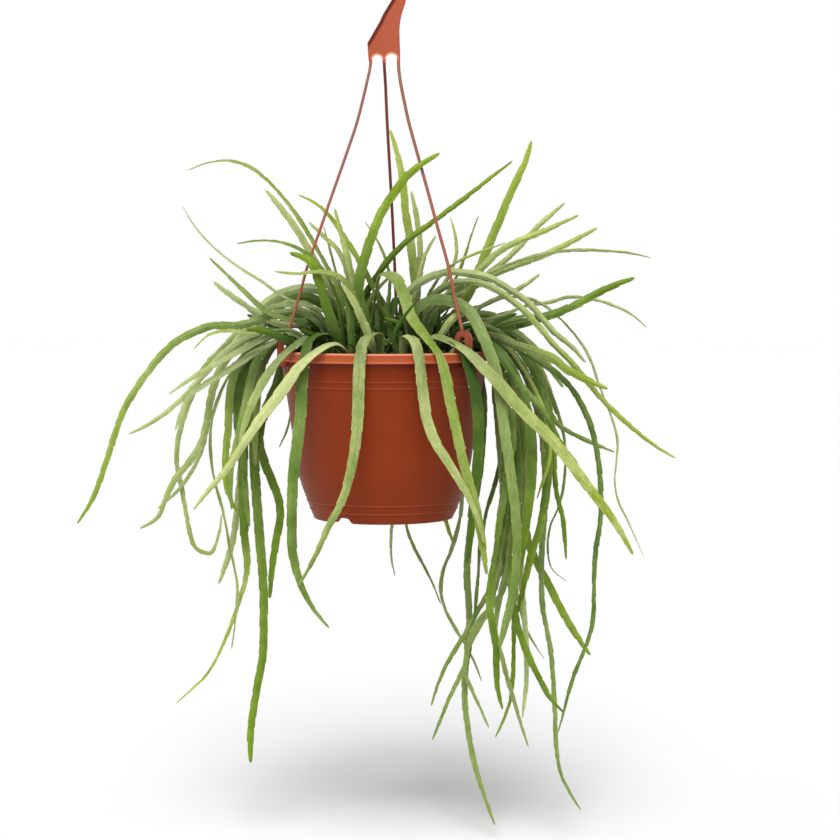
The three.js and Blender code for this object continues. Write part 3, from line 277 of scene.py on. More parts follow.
# Stems that stand up and lean out over the pot
UPRIGHT = [
    ((-8, -38), [
        stem(9, 0, 30, [-38, -34, -30, -26], -16, 30, -20, 46, -18, 63, -10, 89, -3, 107, 9, 126,
             22, 142, 38, 153, 45, 157),
        stem(7, 20, 25, [-34, -28, -24], -16, 26, -24, 53, -29, 76, -36, 102, -39, 113)]),
    ((-28, -33), [
        stem(9, 0, 18, [-40, -40, -38], -36, 8, -44, 30, -50, 50, -58, 70, -66, 75, -75, 78),
        stem(6, 30, 40, [-44, -46, -44, -42], -20, 30, -26, 47, -36, 59, -50, 63, -64, 61, -87, 63),
        stem(5, 50, 40, [-32, -32, -28], -40, 50, -50, 66, -62, 78, -85, 87, -105, 87, -117, 85)]),
    ((-10, -16), [
        stem(10, 0, 40, [-20, -30, -44, -72, -90, -94, -93, -92], -8, 30, -4, 55, 2, 65, 9, 58,
             16, 45, 23, 24, 30, 11, 36, -5, 44, -19, 55, -50, 62, -82, 66, -98, 75, -131, 83, -181),
        stem(5.5, 10, 18, [-14, -8, -4], -26, 50, -34, 76, -41, 85, -49, 92, -60, 102)]),
    ((10, -17), [
        stem(6, 20, 40, [-18, -14, -8, -2], 4, 22, 0, 36, -9, 52, -19, 71, -26, 82, -39, 102,
             -51, 115, -68, 124),
        stem(6, 15, 30, [-14, -8], 22, 30, 28, 55, 33, 76, 42, 92)]),
    ((-21, -2), [
        stem(6, 20, 50, [-8, -16, -20, -16, -10], -20, 30, -17, 41, -10, 52, 2, 70, 16, 85, 33, 98,
             59, 117, 86, 138, 103, 151),
        stem(5, 40, 50, [-6, -4, 0, 2], -34, 45, -46, 68, -53, 81, -65, 102, -81, 123, -100, 142,
             -117, 150, -140, 149, -156, 143),
        stem(4, 40, 40, [2, 8], -30, 34, -39, 66, -42, 78, -48, 100)]),
    ((18, 1), [
        stem(8, 0, 40, [2, 4, 6], 26, 44, 25, 57, 21, 90, 18, 106, 15, 138, 8, 167, 5, 176),
        stem(6.5, 15, 20, [8, 14], 26, 40, 29, 74, 28, 97, 22, 127),
        stem(8.5, 0, 30, [2, 6, 6, 4], 50, 20, 58, 30, 70, 49, 75, 61, 84, 84, 92, 103, 102, 127,
             112, 148, 118, 167)]),
    ((0, 1), [
        stem(4, 30, 40, [4, 8, 12], 3, 30, 5, 56, -2, 82, -15, 103),
        stem(7, 60, 25, [2, 0], 0, 12, -3, 30, -6, 44)]),
    ((11, 19), [
        stem(6.5, 20, 25, [20, 22, 24], 30, 22, 60, 40, 80, 58, 102, 76, 119, 95, 131, 106, 145, 118),
        stem(5, 30, 30, [22, 26], 26, 30, 46, 50, 58, 76, 56, 97, 53, 107),
        stem(4, 30, 40, [16, 14], 30, 26, 50, 44, 62, 67, 69, 89, 76, 108)]),
    ((-11, 18), [
        stem(7, 20, 25, [16, 12], -16, 16, -12, 34, -3, 52, 6, 60),
        stem(7.5, 5, 20, [20, 22], -26, 34, -44, 52, -60, 81, -71, 99, -87, 120, -94, 128)]),
]

# Stems that arch out to the left of the pot
LEFT = [
    ((-41, -43), [
        stem(10, 0, 50, [-48, -68, -76, -76, -72, -70], -41, 8, -48, 7, -54, -3, -58, -20, -64, -45,
             -67, -60, -72, -95, -74, -135, -73, -165, -67, -188, -59, -205, -44, -224),
        stem(9, 10, 40, [-46, -50, -56, -58], -46, 13, -56, 12, -67, 6, -77, -1, -84, -8, -94, -21,
             -101, -33, -110, -55, -116, -79)]),
    ((-53, -24), [
        stem(9.5, 0, 14, [-30, -42, -46, -40], -58, -2, -66, 2, -72, 5, -79, 9, -88, 13, -97, 16,
             -110, 17),
        stem(5, 50, 30, [-34, -44, -46], -66, 14, -84, 16, -110, 14, -131, 16, -147, 7, -152, 1),
        stem(6, 20, 30, [-30, -36, -36], -68, 12, -84, 14, -110, 2, -125, -6, -147, -18, -172, -35),
        stem(7, 20, 30, [-26, -32, -30, -26], -72, 8, -88, 6, -106, -4, -122, -14, -138, -24,
             -155, -36, -167, -64)]),
    ((-61, -6), [
        stem(8, 10, 35, [-14, -16, -10], -80, 10, -92, 3, -103, -12, -107, -28, -112, -50, -117, -72,
             -123, -98, -122, -128),
        stem(6, 15, 40, [-8, -20, -24, -22], -78, 14, -100, 14, -118, 6, -129, -3, -139, -14,
             -150, -26, -167, -44, -190, -60, -204, -67)]),
    ((-60, 11), [
        stem(8, 10, 35, [8, 2, 2], -80, 12, -100, 4, -112, -6, -119, -18, -123, -35, -124, -55,
             -127, -95, -124, -118, -118, -130),
        stem(8, 15, 35, [14, 12, 14], -80, 8, -96, 2, -108, -10, -114, -22, -117, -40, -117, -60,
             -113, -85, -111, -112, -108, -142)]),
    ((-52, 27), [
        stem(9, 0, 25, [30, 30, 26, 24], -76, 6, -92, 0, -101, -16, -105, -40, -105, -70, -102, -120,
             -100, -148, -97, -191, -97, -220, -98, -248, -103, -274, -108, -310, -108, -334),
        stem(7, 0, 20, [24, 20], -74, 4, -88, 0, -97, -16, -101, -40, -103, -70, -103, -93)]),
    ((-40, 42), [
        stem(9, 10, 35, [48, 50, 46, 40], -68, 2, -78, -8, -84, -25, -90, -38, -97, -54, -100, -70,
             -95, -92, -86, -114, -83, -130, -87, -155, -90, -175, -92, -200),
        stem(4, 30, 30, [48, 62, 66, 62], -44, 22, -56, 10, -66, -6, -71, -30, -75, -55, -78, -65,
             -84, -78)]),
    ((-38, -8), [
        stem(7, 10, 40, [-14, -22, -26, -22], -58, 24, -78, 31, -97, 25, -115, 20, -135, 20, -155, 13,
             -172, 2, -192, -22, -208, -48, -220, -82, -233, -118, -246, -139),
        stem(6, 30, 35, [-16, -24, -28], -52, 22, -70, 24, -89, 29, -105, 41, -122, 58, -132, 67,
             -139, 74)]),
    ((-40, 9), [
        stem(7, 10, 16, [4, -4, -8], -56, 20, -75, 20, -88, 22, -101, 30, -119, 42, -136, 55),
        stem(7.5, 5, 50, [2, -6, -6, -2], -62, 26, -80, 30, -98, 22, -112, 8, -124, -4, -131, -16,
             -138, -36, -142, -60, -150, -82, -160, -94, -168, -104, -176, -121, -184, -137,
             -196, -143),
        stem(5, 30, 40, [6, 2, 0], -60, 30, -76, 36, -92, 33, -105, 25, -120, 12, -133, -2, -146, -18,
             -156, -34)]),
    ((-29, 27), [
        stem(3.6, 40, 50, [14, 6, 0], -44, 32, -60, 34, -83, 45, -100, 57, -122, 71, -141, 88,
             -156, 107, -160, 115),
        stem(5.5, 15, 40, [22, 14, 10, 10], -60, 36, -78, 38, -98, 28, -112, 16, -128, 2, -141, -10,
             -150, -28, -158, -48, -164, -68, -166, -90, -161, -115, -157, -141, -152, -157,
             -145, -166, -137, -160, -132, -145, -130, -131),
        stem(5, 60, 60, [20, 26, 22, 16], -62, 24, -84, 22, -102, 8, -118, -12, -130, -32, -137, -54,
             -139, -82, -135, -106, -129, -130, -123, -162, -118, -190, -120, -220, -123, -241),
        stem(5.5, 20, 40, [18, 8, 6], -58, 30, -84, 30, -108, 18, -122, 2, -134, -22, -140, -50,
             -146, -80, -156, -100, -166, -113, -182, -127)]),
    ((-20, 42), [
        stem(8, 5, 30, [38, 42, 44, 40], -38, 38, -55, 49, -73, 48, -88, 42, -99, 32, -107, 16,
             -111, -10, -112, -40, -113, -75, -116, -110, -122, -155, -133, -188),
        stem(9, 10, 70, [34, 34, 32, 30, 26], -45, 34, -58, 42, -70, 42, -81, 37, -93, 27, -103, 10,
             -108, -15, -110, -45, -112, -80, -113, -110, -112, -148, -110, -176, -118, -206,
             -132, -242, -142, -260, -157, -275, -168, -285)]),
]

# Stems that arch out to the right of the pot
RIGHT = [
    ((53, -30), [
        stem(7, 10, 30, [-42, -56, -62, -60], 72, 12, 84, 5, 94, -6, 104, -20, 118, -38, 130, -52,
             136, -64, 139, -82),
        stem(9.5, 0, 40, [-36, -46, -48, -46, -42], 74, 8, 88, 2, 100, -12, 110, -34, 117, -58,
             119, -80, 119, -102, 116, -128, 113, -150, 107, -190),
        stem(8, 10, 40, [-38, -42, -40], 72, 4, 84, -4, 95, -26, 102, -50, 103, -78, 100, -97,
             93, -138, 88, -180)]),
    ((61, -14), [
        stem(9, 10, 22, [-30, -38, -40], 78, 12, 98, 7, 110, 2, 130, -3, 143, -13, 157, -21, 180, -31),
        stem(8, 0, 40, [-26, -32, -32, -28], 76, 8, 88, -4, 94, -26, 97, -50, 98, -85, 97, -120,
             94, -150, 88, -178, 85, -200, 87, -218, 91, -245, 91, -268, 96, -291),
        stem(9, 20, 50, [-18, -22, -22, -18], 78, 8, 92, -8, 101, -38, 106, -72, 107, -110, 105, -150,
             103, -185, 106, -215, 113, -238, 127, -268, 137, -285, 146, -294)]),
    ((63, 4), [
        stem(8, 10, 40, [-8, -16, -18, -16], 82, 10, 96, -6, 106, -22, 112, -42, 113, -62, 111, -85,
             107, -105, 102, -128, 98, -155, 96, -180),
        stem(7, 20, 40, [2, -4, -6, -4], 84, 8, 98, -6, 110, -32, 116, -70, 116, -110, 112, -150,
             110, -180, 113, -210, 115, -240, 115, -270, 112, -298),
        stem(8.5, 10, 40, [0, -12, -14, -12], 86, 14, 104, 6, 120, -14, 128, -40, 132, -70, 132, -100,
             129, -125, 124, -150, 118, -167, 113, -190, 107, -214)]),
    ((59, 21), [
        stem(8, 0, 25, [18, 16, 12, 8], 70, 14, 88, 20, 104, 15, 118, 4, 132, -12, 144, -30),
        stem(6, 10, 50, [14, 10, 8, 6], 78, 4, 90, -14, 96, -48, 101, -92, 103, -140, 101, -172,
             95, -196, 84, -210, 74, -222, 67, -240, 65, -256, 56, -274, 48, -293, 39, -316),
        stem(6, 20, 50, [24, 22, 20], 80, 6, 92, -8, 99, -30, 103, -62, 104, -100, 102, -140,
             98, -175, 92, -205, 90, -225, 95, -247, 104, -280, 117, -322)]),
    ((50, 37), [
        stem(6, 0, 50, [34, 32, 30, 24], 72, 2, 86, -12, 94, -40, 98, -75, 100, -110, 99, -145,
             96, -174, 90, -186, 78, -206, 65, -230, 52, -251, 44, -269, 38, -288),
        stem(5, 10, 30, [30, 26, 22, 20], 70, 0, 84, -16, 90, -50, 94, -95, 96, -140, 93, -180,
             84, -212, 70, -236, 65, -254, 70, -272, 78, -290, 85, -306),
        stem(6, 30, 60, [38, 44, 42, 36], 76, 4, 92, -8, 104, -40, 110, -85, 109, -125, 106, -165,
             105, -200, 105, -235, 104, -265, 101, -288, 90, -314),
        stem(6, 50, 40, [40, 46, 36, 22], 74, 4, 88, -12, 96, -45, 95, -80, 90, -105, 84, -125,
             80, -142, 77, -165, 75, -195, 72, -225, 69, -250)]),
    ((37, 49), [
        stem(8, 10, 30, [50, 48, 40, 34], 52, 18, 72, 28, 90, 26, 108, 12, 121, -8, 132, -30,
             139, -52),
        stem(7, 10, 60, [56, 54, 40, 28, 20], 62, 2, 76, -14, 80, -50, 77, -95, 72, -130, 68, -160,
             67, -185, 69, -215, 67, -245, 65, -275, 67, -300, 72, -330, 80, -358, 90, -386),
        stem(5, 40, 60, [58, 60, 56], 66, 0, 84, -18, 97, -50, 105, -95, 107, -140, 106, -180,
             109, -205, 113, -220, 120, -235, 130, -250)]),
    ((41, -14), [
        stem(6, 10, 60, [-16, -26, -32, -34, -30], 34, 30, 42, 46, 59, 54, 76, 54, 91, 48, 106, 37,
             122, 22, 135, 6, 150, -9, 174, -38, 186, -50, 214, -74, 235, -87),
        stem(5.5, 20, 50, [-22, -28, -26, -22, -20], 62, 18, 78, 20, 95, 12, 108, 2, 122, -7,
             138, -18, 151, -31, 160, -46, 167, -63, 171, -79, 175, -119, 174, -140, 170, -170,
             169, -215, 165, -235, 154, -262, 141, -310),
        stem(5, 30, 30, [-20, -22, -24], 66, 14, 90, 8, 108, -10, 122, -34, 131, -58, 134, -80,
             131, -95, 123, -120),
        stem(5.5, 20, 16, [-14, -12, -8], 48, 16, 66, 28, 80, 36, 92, 42, 108, 49, 125, 61)]),
    ((42, 6), [
        stem(8.5, 0, 22, [-2, -14, -14, -6], 60, 12, 77, 17, 95, 18, 112, 22, 128, 27, 145, 32,
             160, 40, 180, 50, 201, 58),
        stem(6, 15, 30, [0, -4, -4], 64, 16, 84, 16, 104, 6, 120, -12, 130, -36, 136, -62, 137, -90,
             139, -115, 144, -135, 147, -169),
        stem(5, 20, 40, [8, 2, 0], 66, 20, 88, 14, 104, 4, 118, -10, 128, -30, 134, -54, 140, -70,
             156, -91)]),
    ((37, 24), [
        stem(6, 15, 30, [18, 14, 14], 62, 16, 80, 14, 98, 4, 112, -14, 125, -37, 135, -52, 143, -62,
             160, -71, 186, -82),
        stem(6, 20, 70, [22, 18, 18, 16], 60, 12, 78, 8, 94, 0, 110, -16, 122, -44, 128, -78,
             130, -110, 129, -140, 127, -168, 128, -205, 135, -245, 138, -285, 140, -325, 145, -348,
             160, -374)]),
    ((25, 37), [
        stem(4.5, 50, 50, [30, 28, 30], 56, 18, 84, 16, 108, 4, 126, -18, 138, -44, 145, -72,
             146, -95, 144, -112, 141, -125, 134, -142, 132, -160, 135, -175, 148, -187),
        stem(9, 0, 30, [34, 38, 40, 36], 54, 12, 74, 8, 92, -4, 104, -26, 109, -52, 111, -80,
             111, -110, 113, -140, 119, -162, 132, -187, 144, -211, 154, -228, 167, -247),
        stem(4.5, 30, 50, [32, 34, 34], 56, 26, 78, 24, 95, 28, 115, 36, 131, 38, 152, 43, 174, 39,
             195, 31, 211, 18)]),
    ((27, 14), [
        stem(3.6, 50, 50, [10, 8, 6], 50, 28, 72, 34, 85, 39, 98, 42, 116, 42, 136, 30, 152, 14,
             165, -6, 175, -34, 187, -66, 188, -79, 186, -99, 187, -116, 194, -132, 210, -167),
        stem(7, 10, 25, [14, 14], 40, 32, 62, 46, 80, 56, 100, 66, 118, 72, 141, 82, 171, 98)]),
    ((25, -28), [
        stem(9.5, 0, 24, [-36, -52, -64, -66, -62, -56, -52], 24, 30, 33, 38, 43, 39, 54, 38, 64, 33,
             73, 22, 81, 6, 88, -10, 93, -34, 98, -72, 101, -92, 106, -132, 107, -167, 103, -200,
             93, -241),
        stem(7, 10, 30, [-26, -24, -22, -20, -18], 18, 30, 20, 46, 32, 56, 48, 62, 59, 62, 70, 61,
             81, 59, 100, 49, 118, 36, 128, 24, 137, 14, 154, 0, 162, -10),
        stem(4.5, 40, 50, [-24, -20, -14, -8], 38, 34, 50, 44, 66, 54, 82, 61, 98, 68, 120, 75,
             141, 79, 168, 80, 201, 77, 214, 74)]),
    ((30, -5), [
        stem(7, 10, 30, [-6, -6, 0], 46, 38, 62, 50, 75, 62, 87, 75, 107, 87, 125, 94, 156, 108),
        stem(4, 40, 30, [-14, -12], 36, 44, 52, 66, 68, 75, 98, 86)]),
]

# Stems on the side away from the viewer that show under or beside the pot
BACK_SEEN = [
    ((6, 60), [
        stem(4.5, 40, 30, [74, 98, 100, 98], 5, 18, 6, 8, 7, -30, 7, -90, 7, -141, 5, -158, 9, -182),
        stem(5, 30, 50, [76, 100, 102, 98], 14, 16, 17, 6, 17, -40, 16, -100, 18, -141, 27, -164,
             38, -185, 46, -205)]),
    ((22, 54), [
        stem(6, 10, 25, [72, 90, 92, 88], 32, 14, 40, 2, 44, -40, 46, -90, 49, -134, 57, -158),
        stem(5.5, 40, 50, [68, 84, 84, 70, 60], 38, 12, 50, 2, 58, -22, 62, -60, 62, -100, 62, -130,
             57, -153, 47, -180, 46, -192, 48, -205, 60, -229, 71, -247, 79, -268)]),
]


# Stems over the back of the rim: the clumps' places, how many hang from each, the degrees between
# them and for each mm that the clump lies off the axis, and the least and greatest of what varies
BACK_CLUMPS = [(-10, 60), (-25, 55), (-5, 38), (10, 39)]
BACK_STEMS = {"each": 3, "fan": 13, "spread": 0.7, "taper": 30, "width": (7, 9), "rise": (14, 36),
              "drop": (-20, -115)}
# Their course: its points' radii, then the share of the rise left over the rim, the height past the
# rim and the share of the drop reached under it
BACK_COURSE = {"radii": (70, 88, 102, 106, 104), "over": 0.6, "past": -14, "under": 0.55}
# A clump within a distance of the axis has its back stems rise higher
INNER_CLUMP = {"within": 50, "rise": 16}


def back_clumps():
    """The routes of the back stems: each leaves at its own azimuth and hangs to its own depth."""
    clumps, count = [], 0
    for x, y in BACK_CLUMPS:
        stems = []
        inner = INNER_CLUMP["rise"] if math.hypot(x, y) < INNER_CLUMP["within"] else 0
        for k in range(BACK_STEMS["each"]):
            share = (count * GOLDEN) % 1
            azimuth = math.radians(90 - x * BACK_STEMS["spread"] + (k - 1) * BACK_STEMS["fan"])
            width, rise, drop = (np.interp(share, (0, 1), BACK_STEMS[name])
                                 for name in ("width", "rise", "drop"))
            rise += inner
            heights = (rise, rise * BACK_COURSE["over"], BACK_COURSE["past"],
                       drop * BACK_COURSE["under"], drop)
            course = list(zip(BACK_COURSE["radii"], heights, strict=True))
            depths = [radius * math.sin(azimuth) for radius, _ in course]
            route = [value for radius, z in course for value in (radius * math.cos(azimuth), z)]
            stems.append(stem(width, 0, BACK_STEMS["taper"], depths, *route))
            count += 1
        clumps.append(((x, y), stems))
    return clumps


CLUMPS = FRONT + UPRIGHT + LEFT + RIGHT + BACK_SEEN + back_clumps()

# How light each stem's green is, a letter for each stem of each clump: deep, middling, fresh, light
# or pale. A capital letter's stem turns all yellow-green towards its tip, another's only somewhat.
# The letters mix each stem's own tone with painted light and shade: a stem lying in shade among the
# others is given a deeper letter.
TONE = {"d": 0.0, "m": 0.28, "f": 0.52, "l": 0.74, "p": 1.0}
FRESH = {True: 1.0, False: 0.3}
TONES_WITH_PAINTED_SHADE = [
    "pm", "fl", "lD", "LlD",
    "Ml", "Mlm", "fp", "Fp", "Mfl", "LpF", "ff", "pPf", "lp",
    "ml", "MLpp", "fp", "Fm", "Mf", "Ml", "Ff", "pll", "plfp", "pM",
    "mMm", "LMM", "mpM", "lfl", "flFm", "ffl", "LmLl", "MMM", "ff", "fFp", "pP", "fpl", "PP",
    "pf", "Ll",
    # The back clumps, in shade behind the others, are all deep green: painted shade
    "ddd", "ddd", "ddd", "ddd",
]


# Curves

def unit(vectors):
    """The vectors at length one."""
    length = np.linalg.norm(vectors, axis=-1, keepdims=True)
    return vectors / np.maximum(length, SMALLEST)


def dot(one, two):
    """The dot products of two lists of vectors."""
    return (one * two).sum(-1)


def heading(azimuth):
    """The level direction at an azimuth in degrees."""
    turn = math.radians(azimuth)
    return np.array((math.cos(turn), math.sin(turn), 0))


def curve_points(points, shares):
    """Points of the centripetal Catmull-Rom curve through the given ones, at shares of its run."""
    points = np.asarray(points, float)
    last = len(points) - 1
    place = np.clip(shares, 0, 1) * last
    low = np.minimum(place.astype(int), last - 1)
    weight = (place - low)[:, None]
    longer = np.vstack([2 * points[0] - points[1], points, 2 * points[-1] - points[-2]])
    p0, p1, p2, p3 = (longer[low + k] for k in range(4))
    spans = (p1 - p0, p2 - p1, p3 - p2)
    d0, d1, d2 = (np.sqrt(np.linalg.norm(span, axis=1))[:, None] for span in spans)
    t1 = ((p1 - p0) / d0 - (p2 - p0) / (d0 + d1) + (p2 - p1) / d1) * d1
    t2 = ((p2 - p1) / d1 - (p3 - p1) / (d1 + d2) + (p3 - p2) / d2) * d1
    square = -3 * p1 + 3 * p2 - 2 * t1 - t2
    cube = 2 * p1 - 2 * p2 + t1 + t2
    return p1 + weight * (t1 + weight * (square + weight * cube))


def even_shares(points, steps):
    """The shares of a curve's run that part it into equal lengths, and its whole length."""
    shares = np.linspace(0, 1, CURVE_SAMPLES)
    chords = np.linalg.norm(np.diff(curve_points(points, shares), axis=0), axis=1)
    reach = np.concatenate([[0], np.cumsum(chords)])
    count = steps(reach[-1]) if callable(steps) else steps
    return np.interp(np.linspace(0, 1, count + 1) * reach[-1], reach, shares), reach[-1]


def even_points(points, steps):
    """Points at equal lengths along a curve."""
    return curve_points(points, even_shares(points, steps)[0])


def value_along(values, shares):
    """Reads a list of values, spread evenly from 0 to 1, at shares of the way."""
    return np.interp(shares, np.linspace(0, 1, len(values)), values)


def smooth_step(value, low, high):
    """0 below low, 1 above high, and a smooth rise between them."""
    share = np.clip((value - low) / (high - low), 0, 1)
    return share * share * (3 - 2 * share)


# The stems' courses

def station_steps(length):
    """How many steps of about the set length part a stem into stations."""
    return max(LEAST_STEPS, math.floor(length / STATION_STEP + 0.5))


def stations_of(plan, root):
    """A stem's stations, one a step: up out of its collar, then along its route to the tip."""
    route = plan["route"]
    reach = np.concatenate([[0], np.cumsum(np.linalg.norm(np.diff(route, axis=0), axis=1))])
    depths = value_along(plan["depths"], reach / reach[-1])
    scale = ((depths + EYE_DISTANCE) / EYE_DISTANCE)[:, None]
    seen = np.column_stack([route[:, 0], route[:, 1] - EYE_HEIGHT]) * scale
    points = np.column_stack([seen[:, 0], depths, seen[:, 1] + EYE_HEIGHT])
    lean = points[0, :2] - root
    lean *= min(1, COLLAR["spread"] / np.linalg.norm(lean))
    foot = [*(np.array(root) + lean), COLLAR["bottom"] + COLLAR["root"]]
    neck = [*foot[:2], COLLAR["top"]]
    line = np.vstack([foot, neck, points])
    return even_points(line, station_steps)


def half_widths(plan, place, last):
    """Half of a stem's width at places along it: narrow at the base, full on, blunt at the tip."""
    rise = np.minimum(1, place * STATION_STEP / FULL_WIDTH_AT)
    base = BASE_WIDTH + (plan["width"] - BASE_WIDTH) * rise
    left = np.maximum(last - place, 0) * STATION_STEP
    return np.minimum(plan["width"], base) / 2 * np.minimum(1, left / plan["taper"]) ** TIP_BLUNTNESS


def spun(vectors, axes, angle):
    """Vectors turned about axes of length one by angles in radians."""
    angle = angle[..., None]
    turned = vectors * np.cos(angle) + np.cross(axes, vectors) * np.sin(angle)
    return turned + axes * dot(axes, vectors)[..., None] * (1 - np.cos(angle))


def levelling(along, cross):
    """The turn about its course that lays a station level, or as far as it may go either way."""
    level = unit(np.column_stack([along[:, 1], -along[:, 0], np.zeros(len(along))]))
    level *= np.where(dot(level, cross) < 0, -1, 1)[:, None]
    most = math.radians(FLAT_ON_RIM["most_turn"])
    turn = np.minimum(np.arccos(np.clip(dot(cross, level), -1, 1)), most)
    return turn * np.sign(dot(np.cross(cross, level), along))


def frames_of(points, last, turn, twist, over_rim, flatness):
    """Each station's frame: the cross direction faces the eye squarely at the middle of the stem, is
    carried from there without spinning, takes the stem's own turn and twist, and lies level where the
    stem passes low over the rim."""
    rows = np.arange(len(points))
    steps = np.arange(points.shape[1])
    after = np.minimum(steps + 1, last[:, None])
    before = np.maximum(steps - 1, 0)
    along = unit(points[rows[:, None], after] - points[:, before])
    middle = np.floor(last * SQUARE_ON_AT + 0.5).astype(int)
    side = np.zeros_like(points)
    side[rows, middle] = unit(np.cross(along[rows, middle], points[rows, middle] - EYE))
    for way in (1, -1):
        for step in steps[1:]:
            here = middle + way * step
            live = (here >= 0) & (here <= last)
            row, place = rows[live], here[live]
            carried, ahead = side[row, place - way], along[row, place]
            side[row, place] = unit(carried - dot(carried, ahead)[:, None] * ahead)
    angle = np.radians(turn[:, None] + twist[:, None] * (steps - middle[:, None]) / last[:, None])
    side = spun(side, along, angle)
    rim = np.minimum(over_rim, last)
    to_level = flatness * levelling(along[rows, rim], side[rows, rim])
    share = np.exp(-((steps - over_rim[:, None] + 0.5) / FLAT_ON_RIM["stations"]) ** 2)
    side = spun(side, along, share * to_level[:, None])
    return side, np.cross(along, side)


def closest_shares(a, b, c, d):
    """The places of two stretches that lie closest, as shares of each."""
    u, v, w = b - a, d - c, a - c
    uu, uv, vv, uw, vw = dot(u, u), dot(u, v), dot(v, v), dot(u, w), dot(v, w)
    spread = uu * vv - uv * uv
    s = np.clip((uv * vw - vv * uw) / np.maximum(spread, PARALLEL), 0, 1)
    s = np.where(spread > PARALLEL, s, 0.5)
    t = np.clip((uv * s + vw) / vv, 0, 1)
    return np.clip((uv * t - uw) / uu, 0, 1)[:, None], t[:, None]


def pot_radius(z):
    """The pot's outer radius at heights: the rim band, then the wall."""
    radii, heights = zip(*OUTER_WALL)
    wall = np.interp(-np.asarray(z, float), [-height for height in heights], radii)
    return np.where(np.asarray(z) > -RIM_BAND, RIM_RADIUS, wall)


def arm_course(arm):
    """The course of an arm's middle, from inside the plate down into its clip."""
    cos, sin, _ = heading(arm["azimuth"])
    points = [(arm["start"], 0, PLATE_FOOT_Z + ARM_START["in_plate"]),
              (arm["start"], ARM_START["out"] * sin, PLATE_FOOT_Z - ARM_START["under"])]
    top, low = ARM_COURSE[0][1], ARM_COURSE[-1][1]
    for radius, z in ARM_COURSE:
        lean = arm["lean"] * max(0, (z - ARM_LEANS_ABOVE) / (top - ARM_LEANS_ABOVE))
        bow = arm["bow"] * math.sin(math.pi * (z - low) / (top - low))
        points.append((radius * cos + lean + bow, radius * sin, z))
    return np.array(points, float)


def arm_obstacles(arm):
    """An arm and its clip's two legs, as stretches that the stems are kept off, with their reach."""
    cos, sin, _ = heading(arm["azimuth"])
    heights = (CLIP["centre_z"], 0, -CLIP["centre_z"])
    outside = RIM_RADIUS + CLIP["leg"] / 2
    inside = RIM_RADIUS - 2 * CLIP["inner"] - CLIP["leg"] / 2
    legs = [np.array([(radius * cos, radius * sin, z) for z in heights])
            for radius in (outside, inside)]
    course = even_points(arm_course(arm), ARM_STATIONS)
    return [(course, ARM_REACH), *((leg, CLIP_REACH) for leg in legs)]


